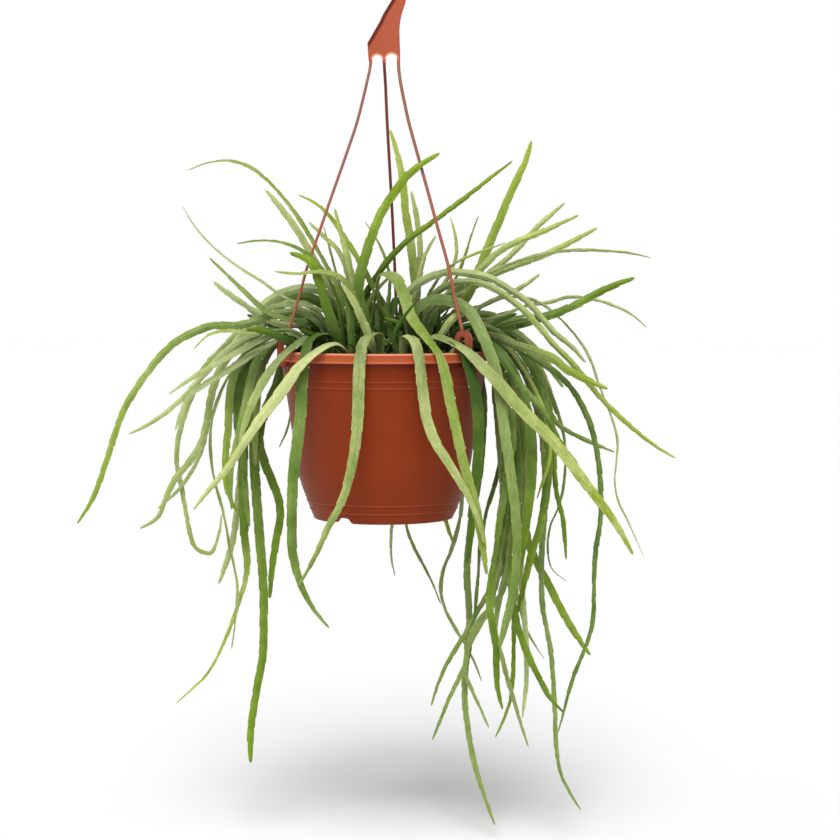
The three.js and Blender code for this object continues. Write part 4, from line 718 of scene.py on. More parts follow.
def grow_stems():
    """Grows every stem, then bends those of different clumps clear of one another, of the hanger's
    arms and clips and of the pot. Each stem gets its stations and their cross directions."""
    stems = []
    for number, (at, plans) in enumerate(CLUMPS):
        for plan in plans:
            twist = TWIST * ((len(stems) * GOLDEN) % 1 - 0.5)
            stems.append({**plan, "clump": number, "twist": twist, "points": stations_of(plan, at),
                          "thinned": THINNED.get(len(stems), NOT_THINNED)})
    obstacles = [obstacle for arm in ARMS for obstacle in arm_obstacles(arm)]
    lines = [one["points"] for one in stems] + [line for line, _ in obstacles]
    last = np.array([len(line) - 1 for line in lines])
    most = last.max() + 1
    steps = np.arange(most)
    points = np.stack([np.pad(line, ((0, most - len(line)), (0, 0)), mode="edge")
                       for line in lines])
    clump = np.array([one["clump"] for one in stems] + [-1] * len(obstacles))
    turn = np.array([one["turn"] for one in stems] + [0] * len(obstacles), float)
    twist = np.array([one["twist"] for one in stems] + [0] * len(obstacles))
    fixed = np.array([0] * len(stems) + [reach for _, reach in obstacles], float)
    half = np.zeros((len(lines), most))
    for row, one in enumerate(stems):
        half[row] = half_widths(one, steps, last[row])
    stretch = steps[None, :] < last[:, None]
    own = stretch.copy()
    own[len(stems):] = False
    inner = (steps[None, :] > 0) & stretch
    wall_inner = float(pot_radius(SOIL_EDGE_Z)) - WALL
    passed = np.hypot(points[..., 0], points[..., 1]) > wall_inner
    over_rim = np.where(passed.any(axis=1), passed.argmax(axis=1), last + 1)
    height = points[np.arange(len(lines)), np.minimum(over_rim, last), 2]
    flatness = (FLAT_ON_RIM["below"] - height) / (FLAT_ON_RIM["below"] - FLAT_ON_RIM["wholly"])
    flatness = np.where(passed.any(axis=1), np.clip(flatness, 0, 1), 0)
    freedom = np.clip((steps * STATION_STEP - STIFF_FOOT) / FREE_AFTER, 0, 1)[None, :, None]

    def reach_of(row, place, way):
        """How far a stem's section reaches from its middle in a direction."""
        broad = half[row, place] * abs(dot(way, side[row, place]))
        thick = MIDRIB * abs(dot(way, front[row, place]))
        return np.where(fixed[row] > 0, fixed[row], broad + thick)

    def near_stretches():
        """The stretches of different clumps that lie near enough to meet."""
        row, place = np.nonzero(stretch)
        middle = (points[row, place] + points[row, place + 1]) / 2
        one, two = [], []
        for k in range(len(row)):
            rest = slice(k + 1, None)
            near = clump[row[rest]] != clump[row[k]]
            near &= np.linalg.norm(middle[rest] - middle[k], axis=1) < SEARCH_RADIUS
            found = np.nonzero(near)[0] + k + 1
            one.append(np.full(len(found), k))
            two.append(found)
        one, two = np.concatenate(one), np.concatenate(two)
        return row[one], place[one], row[two], place[two]

    def part_stretches(i, k, j, l):
        """Pushes pairs of stretches apart, mostly along the line of sight, where they would meet."""
        a, b, c, d = points[i, k], points[i, k + 1], points[j, l], points[j, l + 1]
        s, t = closest_shares(a, b, c, d)
        start = a + (b - a) * s
        apart = c + (d - c) * t - start
        distance = np.linalg.norm(apart, axis=1)
        apart = unit(np.where(distance[:, None] < MEETING, np.cross(b - a, d - c), apart))
        need = reach_of(i, k, apart) + reach_of(j, l, apart) + CLEARANCE
        sight = unit(start - EYE)
        behind = np.where(dot(sight, apart) > -MEETING, 1, -1)[:, None]
        push = sight * ALONG_SIGHT * behind + apart * (1 - ALONG_SIGHT)
        push *= (np.maximum(0, need - distance) / 2)[:, None]
        np.add.at(moves, (i, k), -push * (1 - s))
        np.add.at(moves, (i, k + 1), -push * s)
        np.add.at(moves, (j, l), push * (1 - t))
        np.add.at(moves, (j, l + 1), push * t)

    def clear_pot(row, place):
        """Lifts stretches off the soil and over the rim and, past the rim, holds them off the wall."""
        for share in (0, 1 / 3, 2 / 3):
            point = points[row, place] * (1 - share) + points[row, place + 1] * share
            radius = np.hypot(point[:, 0], point[:, 1])
            out = np.column_stack([point[:, :2] / radius[:, None], np.zeros(len(row))])
            besides = reach_of(row, place, out) + POT_CLEARANCE
            above = reach_of(row, place, np.array((0.0, 0, 1))) + POT_CLEARANCE
            lift = np.maximum(0, above - point[:, 2])
            outward = np.maximum(0, pot_radius(point[:, 2]) + besides - radius)
            inside = (place < over_rim[row]) & (radius < wall_inner - besides)
            beside = ~inside & (point[:, 2] > -POT_HEIGHT - BELOW_POT)
            beside &= radius < RIM_RADIUS + besides
            rising = beside & ((place < over_rim[row]) | (lift < outward))
            up = np.where(inside & (place > 1), np.maximum(0, SOIL_CROWN_Z + above - point[:, 2]), 0)
            up = np.where(rising & (outward > 0), lift, up)
            push = out * np.where(beside & ~rising, outward, 0)[:, None]
            push[:, 2] += up
            np.add.at(moves, (row, place), push * (1 - share) * POT_PUSH)
            np.add.at(moves, (row, place + 1), push * share * POT_PUSH)

    side, front = frames_of(points, last, turn, twist, over_rim, flatness)
    for count in range(ROUNDS):
        if count % ROUNDS_PER_SEARCH == 0:
            near = near_stretches()
        moves = np.zeros_like(points)
        part_stretches(*near)
        clear_pot(*np.nonzero(own))
        for _ in range(EASINGS):
            eased = (2 * moves[:, 1:-1] + moves[:, :-2] + moves[:, 2:]) / 4
            moves[:, 1:-1] = np.where(inner[:, 1:-1, None], eased, moves[:, 1:-1])
        points[: len(stems)] += (moves * freedom)[: len(stems)]
        side, front = frames_of(points, last, turn, twist, over_rim, flatness)
    for row, one in enumerate(stems):
        one["points"] = points[row, : last[row] + 1]
        one["sides"] = side[row, : last[row] + 1]
    return stems


# Meshes

class Shape:
    """Closed bodies gathered for one piece: corners in millimetres, faces, their material's number,
    and values for each corner that the materials read."""

    def __init__(self, *values):
        self.corners, self.faces, self.marks = [], [], []
        self.values = {name: [] for name in values}
        self.count = 0

    def add(self, corners, faces, mark=0, **values):
        """Adds one closed body. A mark is one number, or one for each face; a value is one number, or
        one for each corner."""
        corners = np.asarray(corners, float)
        faces = facing_out(corners, faces)
        self.corners.append(corners)
        self.faces.extend([[self.count + k for k in face] for face in faces])
        self.marks.extend(np.broadcast_to(mark, len(faces)).tolist())
        for name, kept in self.values.items():
            value = np.asarray(values.get(name, 0), float)
            kept.append(np.broadcast_to(value, (len(corners),)))
        self.count += len(corners)

    def piece(self, name, node, materials):
        """Makes the piece, which stands for a node of the model and rides with it."""
        corners = np.concatenate(self.corners) * MM + (0, 0, RIM_Z)
        corners = np.clip(corners, CAD_LOW, CAD_HIGH)
        mesh = bpy.data.meshes.new(name)
        mesh.from_pydata(corners.tolist(), [], self.faces)
        mesh.polygons.foreach_set("material_index", self.marks)
        mesh.polygons.foreach_set("use_smooth", [True] * len(self.faces))
        for value, kept in self.values.items():
            mesh.attributes.new(value, "FLOAT", "POINT").data.foreach_set("value", np.concatenate(kept))
        for material in materials:
            mesh.materials.append(material)
        mesh.update()
        return placed(bpy.data.objects.new(name, mesh), node)


def facing_out(corners, faces):
    """A closed body's faces, turned round together if they face in."""
    fans = np.array([(face[0], face[k], face[k + 1])
                     for face in faces for k in range(1, len(face) - 1)])
    a, b, c = (corners[fans[:, k]] for k in range(3))
    return [face[::-1] for face in faces] if dot(a, np.cross(b, c)).sum() < 0 else faces


def placed(piece, node):
    """Puts a piece in the scene in a node's stead."""
    bpy.context.scene.collection.objects.link(piece)
    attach(piece, BODY)
    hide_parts(node)
    return piece


def ring_faces(rings, sides, tip=False):
    """Faces of a tube of rings, closed at both ends, the far one by a single tip corner if so said."""
    faces = [list(range(sides))[::-1]]
    for ring in range(rings - 1):
        low, high = ring * sides, (ring + 1) * sides
        for k in range(sides):
            after = (k + 1) % sides
            faces.append([low + k, low + after, high + after, high + k])
    low = (rings - 1) * sides
    if tip:
        faces += [[low + k, low + (k + 1) % sides, low + sides] for k in range(sides)]
    else:
        faces.append([low + k for k in range(sides)])
    return faces


# Room for rounding when a ball's edges are told from its longer spans
JUST_OVER = 1.01


def ball(detail):
    """Corners and faces of a unit ball: an icosahedron, split by detail."""
    golden = (1 + math.sqrt(5)) / 2
    base = [(s, g, 0) for g in (golden, -golden) for s in (-1, 1)]
    corners = [p for x, y, z in base for p in ((x, y, z), (z, x, y), (y, z, x))]
    corners = unit(np.array(corners, float))
    edge = min(np.linalg.norm(corners[0] - q) for q in corners[1:]) * JUST_OVER
    faces = []
    for a, b, c in itertools.combinations(range(len(corners)), 3):
        sides = [np.linalg.norm(corners[i] - corners[j]) for i, j in ((a, b), (b, c), (c, a))]
        if max(sides) < edge:
            outward = np.dot(corners[a], np.cross(corners[b], corners[c])) > 0
            faces.append([a, b, c] if outward else [a, c, b])
    for _ in range(detail):
        corners, faces = split(corners, faces)
    return corners, faces


def split(corners, faces):
    """Splits each triangle of a ball into four."""
    corners, made, finer = list(corners), {}, []
    for a, b, c in faces:
        middle = []
        for i, j in ((a, b), (b, c), (c, a)):
            key = (min(i, j), max(i, j))
            if key not in made:
                made[key] = len(corners)
                corners.append(unit(corners[i] + corners[j]))
            middle.append(made[key])
        ab, bc, ca = middle
        finer += [[a, ab, ca], [b, bc, ab], [c, ca, bc], [ab, bc, ca]]
    return np.array(corners), finer


SMALL_BALL = ball(0)
ROUND_BALL = ball(1)


# Stems

# The section of a stem, as shares of its half width from margin to margin over the front and back
# over the rear, with the height of each point above the margin's middle at full thickness
SECTION = [
    (-1.0, 0.0), (-0.94, 0.3), (-0.6, 0.56), (-0.22, 0.9), (0.0, 1.3), (0.22, 0.9), (0.6, 0.56),
    (0.94, 0.3), (1.0, 0.0), (0.92, -0.32), (0.45, -0.52), (0.0, -0.75), (-0.45, -0.52), (-0.92, -0.32),
]
SMOOTHED_RINGS = 9
WAVE = {"height": 0.3, "length": (34, 60)}
CURL = {"height": 0.42, "length": (30, 70)}


def notches(length, first, dice):
    """The places of a margin's notches, with the length's end as the last, and their depths."""
    places, depths = [0.0], [0.0]
    at, bold = first, dice.uniform(*NOTCH_BOLDNESS)
    while at < length - NOTCHES_END:
        places.append(at)
        depths.append(bold * dice.uniform(*NOTCH_DEPTH))
        at += dice.uniform(*NOTCH_PERIOD)
    return np.array(places + [length + 1]), np.array(depths)


def margin(places, depths, arc, half):
    """The share of the half width left along a margin that steps in at each notch and swells again."""
    notch = np.searchsorted(places, arc, side="right") - 1
    phase = (arc - places[notch]) / (places[notch + 1] - places[notch])
    depth = np.minimum(depths[notch] / np.maximum(half, SMALLEST), DEEPEST_NOTCH)
    return 1 - depth * (1 - phase ** NOTCH_SWELL)


def ripple(form, arc, slim, dice):
    """The heights of a wave along a stem, lower where the stem is slim."""
    length, start = dice.uniform(*form["length"]), dice.uniform(0, 1)
    return form["height"] * slim * np.sin(2 * np.pi * (arc / length + start))


def add_stem(shape, one, letter, dice):
    """Adds a stem: a thin flat ribbon with a midrib, notched margins and wool in the notches."""
    stations, sides = one["points"], one["sides"]
    last = len(stations) - 1
    shares, length = even_shares(stations, lambda whole: max(LEAST_RINGS, round(whole / RING_STEP)))
    points = curve_points(stations, shares)
    place = shares * last
    arc = np.linspace(0, length, len(points))
    side = np.column_stack([np.interp(place, np.arange(last + 1), sides[:, k]) for k in range(3)])
    even = np.ones(SMOOTHED_RINGS) / SMOOTHED_RINGS
    padded = np.pad(side, ((SMOOTHED_RINGS // 2,) * 2, (0, 0)), mode="edge")
    side = np.column_stack([np.convolve(padded[:, k], even, mode="valid") for k in range(3)])
    along = unit(np.gradient(points, axis=0))
    side = unit(side - dot(side, along)[:, None] * along)
    front = np.cross(along, side)

    half = half_widths(one, place, last)
    half *= 1 - NARROWING["share"] * smooth_step(arc / length, NARROWING["start"], 1)
    lost, since, paler = one["thinned"]
    half *= 1 - lost * smooth_step(arc / length, since, min(1, since + THINS_OVER))
    slim = np.minimum(1, half / SLIM_BELOW)
    period = sum(NOTCH_PERIOD) / 2
    first = NOTCHES_FROM + dice.uniform(0, period)
    left, right = notches(length, first, dice), notches(length, first + period / 2, dice)
    full = smooth_step(arc, NOTCHES_FROM * NOTCHES_FADE_IN, FULL_WIDTH_AT)
    shrink = [1 - full * (1 - margin(*each, arc, half)) for each in (left, right)]
    wave = ripple(WAVE, arc, slim, dice)
    curl = ripple(CURL, arc, slim, dice)
    tone = TONE[letter.lower()] + paler * smooth_step(arc / length, since, since + PALES_OVER)

    corners, across = [], []
    for u, height in SECTION:
        reach = half * u * shrink[0 if u < 0 else 1]
        lift = height * slim + (wave + curl * np.sign(u)) * u * u
        corners.append(points + side * reach[:, None] + front * lift[:, None])
        across.append(np.full(len(points), u))
    corners, across = np.stack(corners, axis=1)[:-1], np.stack(across, axis=1)[:-1]
    rings, ring = corners.shape[:2]
    body = np.vstack([corners.reshape(-1, 3), points[-1]])
    lot = dice.uniform(0, 1)

    def for_corners(row):
        """A value for each ring, spread over its corners and the tip."""
        return np.append(np.repeat(row[:-1], ring), row[-1])

    shape.add(body, ring_faces(rings, ring, tip=True), 0, across=np.append(across.ravel(), 0),
              arc=for_corners(arc), age=for_corners(arc / length), tone=for_corners(tone),
              fresh=FRESH[letter.isupper()], lot=lot, half=for_corners(half))

    ball_corners, ball_faces = SMALL_BALL
    for sign, (places, _), kept in ((-1, left, shrink[0]), (1, right, shrink[1])):
        for at in places[1:-1]:
            k = int(round(at / length * (len(points) - 1)))
            size = WOOL["radius"] * min(1, half[k] / WOOL["wide"]) * dice.choice(WOOL["sizes"])
            out = side[k] * sign * (half[k] * kept[k] - WOOL["inside"])
            centre = points[k] + out + front[k] * WOOL["before"]
            shape.add(centre + ball_corners * size * WOOL["form"], ball_faces, 1, lot=lot)


# A clump's woody foot: its rings' heights, and their widths as shares of its radius, which is a
# little less than the collar's; then the least and greatest unevenness of a corner
FOOT_RINGS = [(COLLAR["bottom"], 0.9), (-20, 0.97), (-15, 1.0), (-11, 0.98), (-8.2, 0.86),
              (COLLAR["top"], 0.5)]
FOOT = {"sides": 12, "inside": 0.6, "radius": (0.88, 1.02), "height": (-0.4, 0.4)}


def add_foot(shape, at, dice):
    """Adds the short woody foot that a clump's stems grow from."""
    sides = FOOT["sides"]
    angle = np.arange(sides) * 2 * np.pi / sides
    rings = []
    for z, width in FOOT_RINGS:
        radius = (COLLAR["radius"] - FOOT["inside"]) * width * dice.uniform(*FOOT["radius"], sides)
        rings.append(np.column_stack([at[0] + radius * np.cos(angle), at[1] + radius * np.sin(angle),
                                      z + dice.uniform(*FOOT["height"], sides)]))
    shape.add(np.vstack(rings), ring_faces(len(rings), sides), 2, lot=dice.uniform(0, 1))


# Short young shoots round the clumps' feet and inside the rim, too small and many for the model:
# how many, how far from the foot's or pot's middle, and the least and greatest of what varies. Those
# of a front clump are shorter by a share, and those inside the rim keep clear of two of the arms.
SHOOTS = {"each": 3, "off": (4.5, 9), "length": (36, 72), "lean": (0.15, 0.7), "width": (4.5, 7),
          "uneven": (-0.3, 0.3)}
FRONT_SHOOTS = {"before": -38, "share": 0.62}
RIM_SHOOTS = {"count": 17, "azimuth": (-14, 196), "off": (58, 66), "length": (58, 84),
              "lean": (0.6, 0.85), "width": (5.5, 8), "uneven": (-4, 4), "veer": (-20, 20),
              "clear_of": (82, 202), "by": 8}
SHOOT_POINTS = 9
SHOOT_BEND = 0.45
SHOOT_TAPER = 16
SHOOT_TURN = 60
SHOOT_LETTERS = list("dmmfM")


def shoot(foot, azimuth, form, share, dice):
    """A short shoot: up out of the soil and over towards its azimuth in degrees."""
    length, lean = share * dice.uniform(*form["length"]), dice.uniform(*form["lean"])
    t = np.linspace(0, 1, SHOOT_POINTS)[:, None]
    root = np.array((*foot, COLLAR["bottom"] + COLLAR["root"]))
    line = root + heading(azimuth) * lean * length * t ** 2
    line = line + np.array((0, 0, length)) * (t - SHOOT_BEND * lean * t ** 2)
    points = even_points(line, station_steps)
    along = unit(np.gradient(points, axis=0))
    turn = math.radians(dice.uniform(-SHOOT_TURN, SHOOT_TURN))
    side = spun(unit(np.cross(along, points - EYE)), along, np.full(len(points), turn))
    return {"points": points, "sides": side, "width": dice.uniform(*form["width"]),
            "taper": SHOOT_TAPER, "thinned": NOT_THINNED}


def rim_shoots():
    """The shoots inside the rim, each with the number of the clump that it is nearest to."""
    dice = np.random.default_rng(SEED - 2)
    feet = np.array([at for at, _ in CLUMPS], float)
    made = []
    for azimuth in np.linspace(*RIM_SHOOTS["azimuth"], RIM_SHOOTS["count"]):
        azimuth += dice.uniform(*RIM_SHOOTS["uneven"])
        if min(abs(azimuth - arm) for arm in RIM_SHOOTS["clear_of"]) < RIM_SHOOTS["by"]:
            continue
        foot = dice.uniform(*RIM_SHOOTS["off"]) * heading(azimuth)[:2]
        nearest = int(np.linalg.norm(feet - foot, axis=1).argmin())
        azimuth += dice.uniform(*RIM_SHOOTS["veer"])
        made.append((nearest, shoot(foot, azimuth, RIM_SHOOTS, 1, dice)))
    return made


def add_shoots(shape, number, at, others):
    """Adds the shoots of a clump. Those at the front are short and lean away from the rim."""
    dice = np.random.default_rng(SEED + len(CLUMPS) + number)
    front = at[1] < FRONT_SHOOTS["before"]
    share = FRONT_SHOOTS["share"] if front else 1
    first = dice.uniform(0, 360)
    for k in range(SHOOTS["each"]):
        azimuth = first + (k + dice.uniform(*SHOOTS["uneven"])) * 360 / SHOOTS["each"]
        if front:
            azimuth = abs((azimuth + 180) % 360 - 180)
        foot = at + dice.uniform(*SHOOTS["off"]) * heading(azimuth)[:2]
        add_stem(shape, shoot(foot, azimuth, SHOOTS, share, dice), dice.choice(SHOOT_LETTERS), dice)
    for nearest, one in others:
        if nearest == number:
            add_stem(shape, one, dice.choice(SHOOT_LETTERS), dice)


def stem_clumps(materials):
    """One piece for each clump: its foot, its stems and its shoots."""
    stems = grow_stems()
    others = rim_shoots()
    for number, (at, plans) in enumerate(CLUMPS):
        node = f"stems_{number + 1:02d}"
        dice = np.random.default_rng(SEED + number)
        shape = Shape("across", "arc", "age", "tone", "fresh", "lot", "half")
        add_foot(shape, at, dice)
        grown = [one for one in stems if one["clump"] == number]
        for one, letter in zip(grown, TONES_WITH_PAINTED_SHADE[number], strict=True):
            add_stem(shape, one, letter, dice)
        add_shoots(shape, number, at, others)
        used = [materials[SLOT_OF[node]], materials["wool"], materials["woody"]]
        shape.piece(f"{node}_ribbons", node, used)


# Pot

def arc_points(centre, radius, start, end, count):
    """Points along an arc, angles in degrees."""
    angles = np.radians(np.linspace(start, end, count))
    return [(centre[0] + radius * math.cos(a), centre[1] + radius * math.sin(a)) for a in angles]


def wall_points():
    """The outer wall from under the band down to the foot: a smooth curve with its raised lines."""
    line = np.array([(radius, 0, z) for radius, z in OUTER_WALL])
    run = curve_points(line, np.linspace(0, 1, WALL_POINTS))[1:-1]
    points = []
    for radius, _, z in run:
        lift = sum(BEAD["proud"] * math.exp(-((z - at) / BEAD["spread"]) ** 2) for at in BEAD_HEIGHTS)
        points.append((radius + lift, z))
    return points


def pot_profile():
    """The pot's whole section, from the middle of its underside round over the rim to its floor."""
    rim_inner = OUTER_WALL[0][0] - WALL
    floor = FOOT_HEIGHT - POT_HEIGHT
    foot_radius, foot_z = OUTER_WALL[-1]
    under, edge = FOOT_INNER_RADIUS - FLOOR_EDGE["inset"], FLOOR_EDGE["radius"]
    hollow, lip, step = RIM_RADIUS - BAND_HOLLOW["depth"], RIM_ROUND, FLOOR_CHAMFER
    foot_centre = (foot_radius - FOOT_ROUND, FOOT_ROUND - POT_HEIGHT)
    band_centre = (RIM_RADIUS - BAND_ROUND, BAND_ROUND - RIM_BAND)
    inner = [(radius - WALL, z) for radius, z in OUTER_WALL[:-1]]
    return [
        (0, floor), (under, floor), *arc_points((under, floor - edge), edge, 90, 0, 4),
        (FOOT_INNER_RADIUS, FOOT_CHAMFER - POT_HEIGHT),
        (FOOT_INNER_RADIUS + FOOT_CHAMFER, -POT_HEIGHT),
        *arc_points(foot_centre, FOOT_ROUND, -90, 0, 7), (foot_radius, foot_z),
        *wall_points()[::-1],
        (OUTER_WALL[0][0], -RIM_BAND), *arc_points(band_centre, BAND_ROUND, -90, 0, 5),
        (hollow, BAND_HOLLOW["above_low"] - RIM_BAND), (hollow, -BAND_HOLLOW["below_top"]),
        *arc_points((RIM_RADIUS - lip, -lip), lip, 0, 90, 7),
        *arc_points((rim_inner + lip, -lip), lip, 90, 180, 5),
        *inner, (foot_radius - WALL, floor + WALL + step), (foot_radius - WALL - step, floor + WALL),
        (0, floor + WALL),
    ]


def turned(profile, sides):
    """Spins a profile of radius and z, which starts and ends on the axis, into a closed body."""
    angle = np.arange(sides) * 2 * np.pi / sides
    corners = [(0, 0, profile[0][1])]
    for radius, z in profile[1:-1]:
        corners += [(radius * math.cos(a), radius * math.sin(a), z) for a in angle]
    corners.append((0, 0, profile[-1][1]))
    faces = []
    rings = len(profile) - 2
    for k in range(sides):
        after = (k + 1) % sides
        faces.append([0, 1 + after, 1 + k])
        for ring in range(rings - 1):
            low, high = 1 + ring * sides, 1 + (ring + 1) * sides
            faces.append([low + k, low + after, high + after, high + k])
        low = 1 + (rings - 1) * sides
        faces.append([low + k, low + after, len(corners) - 1])
    return np.array(corners), faces


def cutter(corners, faces):
    """A solid that a boolean takes away, in metres."""
    corners = np.asarray(corners, float)
    mesh = bpy.data.meshes.new("cutter")
    mesh.from_pydata((corners * MM + (0, 0, RIM_Z)).tolist(), [], facing_out(corners, faces))
    cut = bpy.data.objects.new("cutter", mesh)
    bpy.context.scene.collection.objects.link(cut)
    return cut


def pot_cutters():
    """The foot's notches and the floor's drain holes."""
    foot_radius, floor = OUTER_WALL[-1][0], FOOT_HEIGHT - POT_HEIGHT
    cuts = []
    # Half of a notch's outline: its flared foot, its slanting side and its rounded upper corner
    half, top, bend = NOTCH["width"] / 2, NOTCH["height"], NOTCH["round"]
    edge = [(half + bend * 1.2, -top), (half + bend * 1.2, 0), (half + bend * 0.55, bend * 0.1),
            (half + bend * 0.15, bend * 0.4), (half - bend * 0.1, top - bend * 0.7),
            (half - bend * 0.4, top - bend * 0.22), (half - bend, top)]
    outline = [(-u, v) for u, v in edge] + edge[::-1]
    for k in range(NOTCH["count"]):
        turn = math.radians(NOTCH["azimuth"]) + k * 2 * math.pi / NOTCH["count"]
        out = np.array((math.cos(turn), math.sin(turn), 0))
        cross, up = np.array((-out[1], out[0], 0)), np.array((0, 0, 1))
        rings = []
        for reach in (foot_radius - NOTCH["depth"] / 2, foot_radius + NOTCH["depth"] / 2):
            rings += [out * reach + cross * u + up * (v - POT_HEIGHT) for u, v in outline]
        cuts.append(cutter(rings, ring_faces(2, len(outline))))
    for k in range(DRAIN["count"]):
        turn = (k + 0.5) * 2 * math.pi / DRAIN["count"]
        middle = np.array((DRAIN["ring"] * math.cos(turn), DRAIN["ring"] * math.sin(turn)))
        circle = arc_points(middle, DRAIN["radius"], 0, 360, DRAIN["sides"] + 1)[:-1]
        rings = [(x, y, floor + z) for z in (-2 * WALL, 2 * WALL) for x, y in circle]
        cuts.append(cutter(rings, ring_faces(2, len(circle))))
    return cuts


def pot(material):
    """The moulded pot: smooth and thin-walled, with its rim band, raised lines, notches and holes."""
    shape = Shape()
    shape.add(*turned(pot_profile(), POT_SIDES))
    piece = shape.piece("pot_moulded", "pot", [material])
    cuts = pot_cutters()
    for k, cut in enumerate(cuts):
        modifier = piece.modifiers.new(f"cut_{k}", "BOOLEAN")
        modifier.object, modifier.solver, modifier.operation = cut, "EXACT", "DIFFERENCE"
    applied(piece)
    for cut in cuts:
        bpy.data.objects.remove(cut)
    shade_by_angle(piece, degrees=35)


def applied(piece):
    """Applies a piece's modifiers to its mesh."""
    graph = bpy.context.evaluated_depsgraph_get()
    mesh = bpy.data.meshes.new_from_object(piece.evaluated_get(graph))
    piece.modifiers.clear()
    piece.data = mesh


def shade_by_angle(piece, degrees):
    """Shades a piece smooth but for its edges sharper than an angle."""
    piece.data.shade_smooth()
    piece.data.set_sharp_from_angle(angle=math.radians(degrees))


# Hanger

def outline_inward(outline):
    """The inward direction at each point of a closed outline that runs anticlockwise."""
    outline = np.asarray(outline, float)
    ahead = unit(np.roll(outline, -1, axis=0) - outline)
    behind = unit(outline - np.roll(outline, 1, axis=0))
    return unit(np.column_stack([-(ahead + behind)[:, 1], (ahead + behind)[:, 0]]))


def plate_body(outline, axes, thickness, inset):
    """A plate cut to an outline, with rounded edges: corners and faces. axes are the directions of
    the outline's two numbers and of its front; inset is how far the front's edge is drawn in."""
    outline = np.asarray(outline, float)
    inward = outline_inward(outline)
    across, up, ahead = (np.asarray(axis, float) for axis in axes)
    inset = np.broadcast_to(inset, (len(outline),))[:, None]
    half = thickness / 2
    back = [(share, EDGE_ROUND, np.full_like(inset, depth * EDGE_ROUND - half))
            for share, depth in BACK_EDGE]
    front = [(share, inset, np.maximum(half - depth * inset / EDGE_ROUND, 0))
             for share, depth in FRONT_EDGE]
    rings = []
    for share, reach, height in back + front:
        flat = outline + inward * share * reach
        rings.append(flat[:, :1] * across + flat[:, 1:] * up + height * ahead)
    return np.vstack(rings), ring_faces(len(rings), len(outline))


def bend_points(start, middle, end, count=8):
    """Points of a quadratic curve after its start."""
    start, middle, end = (np.array(point, float) for point in (start, middle, end))
    shares = np.linspace(0, 1, count + 1)[1:, None]
    return list((1 - shares) ** 2 * start + 2 * shares * (1 - shares) * middle + shares ** 2 * end)


def above_foot(points):
    """Points given by x and their height above the plate's foot, as x and z."""
    return [(x, PLATE_FOOT_Z + height) for x, height in points]


def plate_outline():
    """The plate that gathers the arms under two small arches and runs up into the hook."""
    foot, top = PLATE_FOOT_Z, HOOK["centre_z"]
    inner, outer, tip = HOOK["inner"], HOOK["outer"], HOOK["tip_angle"]
    arches = []
    for arch in ARCHES:
        x, radius = arch["x"], arch["radius"]
        bow = arc_points((x, foot + arch["z"]), radius, 180, 0, 24)
        arches += [(x - radius, foot), *bow, (x + radius, foot)]
    right, neck = above_foot(PLATE_RIGHT), above_foot(NECK_RIGHT)
    return [
        (PLATE_FOOT_LEFT, foot), *arches, *right,
        *bend_points(right[-1], *neck),
        *bend_points(neck[-1], (outer, foot + HOOK_BENDS["outer"]), (outer, top)),
        *arc_points((0, top), outer, 0, tip, 40)[1:],
        *arc_points((0, top), inner, tip, 0, 30),
        *bend_points((inner, top), (inner, foot + HOOK_BENDS["inner"]), *above_foot(NECK_LEFT)),
        *above_foot(PLATE_LEFT),
    ]


def sweep(path, radius_across, radius_out, side_of):
    """A rounded bar along a path of points: corners and faces."""
    path = np.asarray(path, float)
    along = unit(np.gradient(path, axis=0))
    side = unit(side_of - dot(side_of, along)[:, None] * along)
    out = np.cross(along, side)
    turns = np.radians((np.arange(BAR_SIDES) + 0.5) * 360 / BAR_SIDES)
    across, outward = np.cos(turns), np.sin(turns)
    round_reach = np.abs(across) ** BAR_SQUARENESS + np.abs(outward) ** BAR_SQUARENESS
    squarer = 1 / round_reach ** (1 / BAR_SQUARENESS)
    rings = [path[k] + np.outer(across * squarer * radius_across, side[k])
             + np.outer(outward * squarer * radius_out, out[k]) for k in range(len(path))]
    return np.vstack(rings), ring_faces(len(rings), len(turns))


def clip_outline():
    """The clip at an arm's end: an arch over the rim, a leg inside, and a toe under the rim band."""
    leg, inner, centre_z, toe = CLIP["leg"], CLIP["inner"], CLIP["centre_z"], CLIP["toe"]
    cut, foot = CLIP["chamfer"], CLIP["inner_foot"]
    outer_face = RIM_RADIUS + CLIP["rim_gap"]
    centre = outer_face - inner
    toe_top = -RIM_BAND - CLIP["rim_gap"]
    toe_tip = float(pot_radius(toe_top)) + CLIP["rim_gap"]
    return [
        (centre - inner, foot), *arc_points((centre, centre_z), inner, 180, 0, 16),
        (outer_face, toe_top), (toe_tip, toe_top), (toe_tip, toe_top - toe + cut),
        (toe_tip + cut, toe_top - toe), (outer_face + leg - cut, toe_top - toe),
        (outer_face + leg, toe_top - toe + cut),
        *arc_points((centre, centre_z), inner + leg, 0, 180, 24),
        (centre - inner - leg, foot + cut), (centre - inner - leg + cut, foot),
    ]


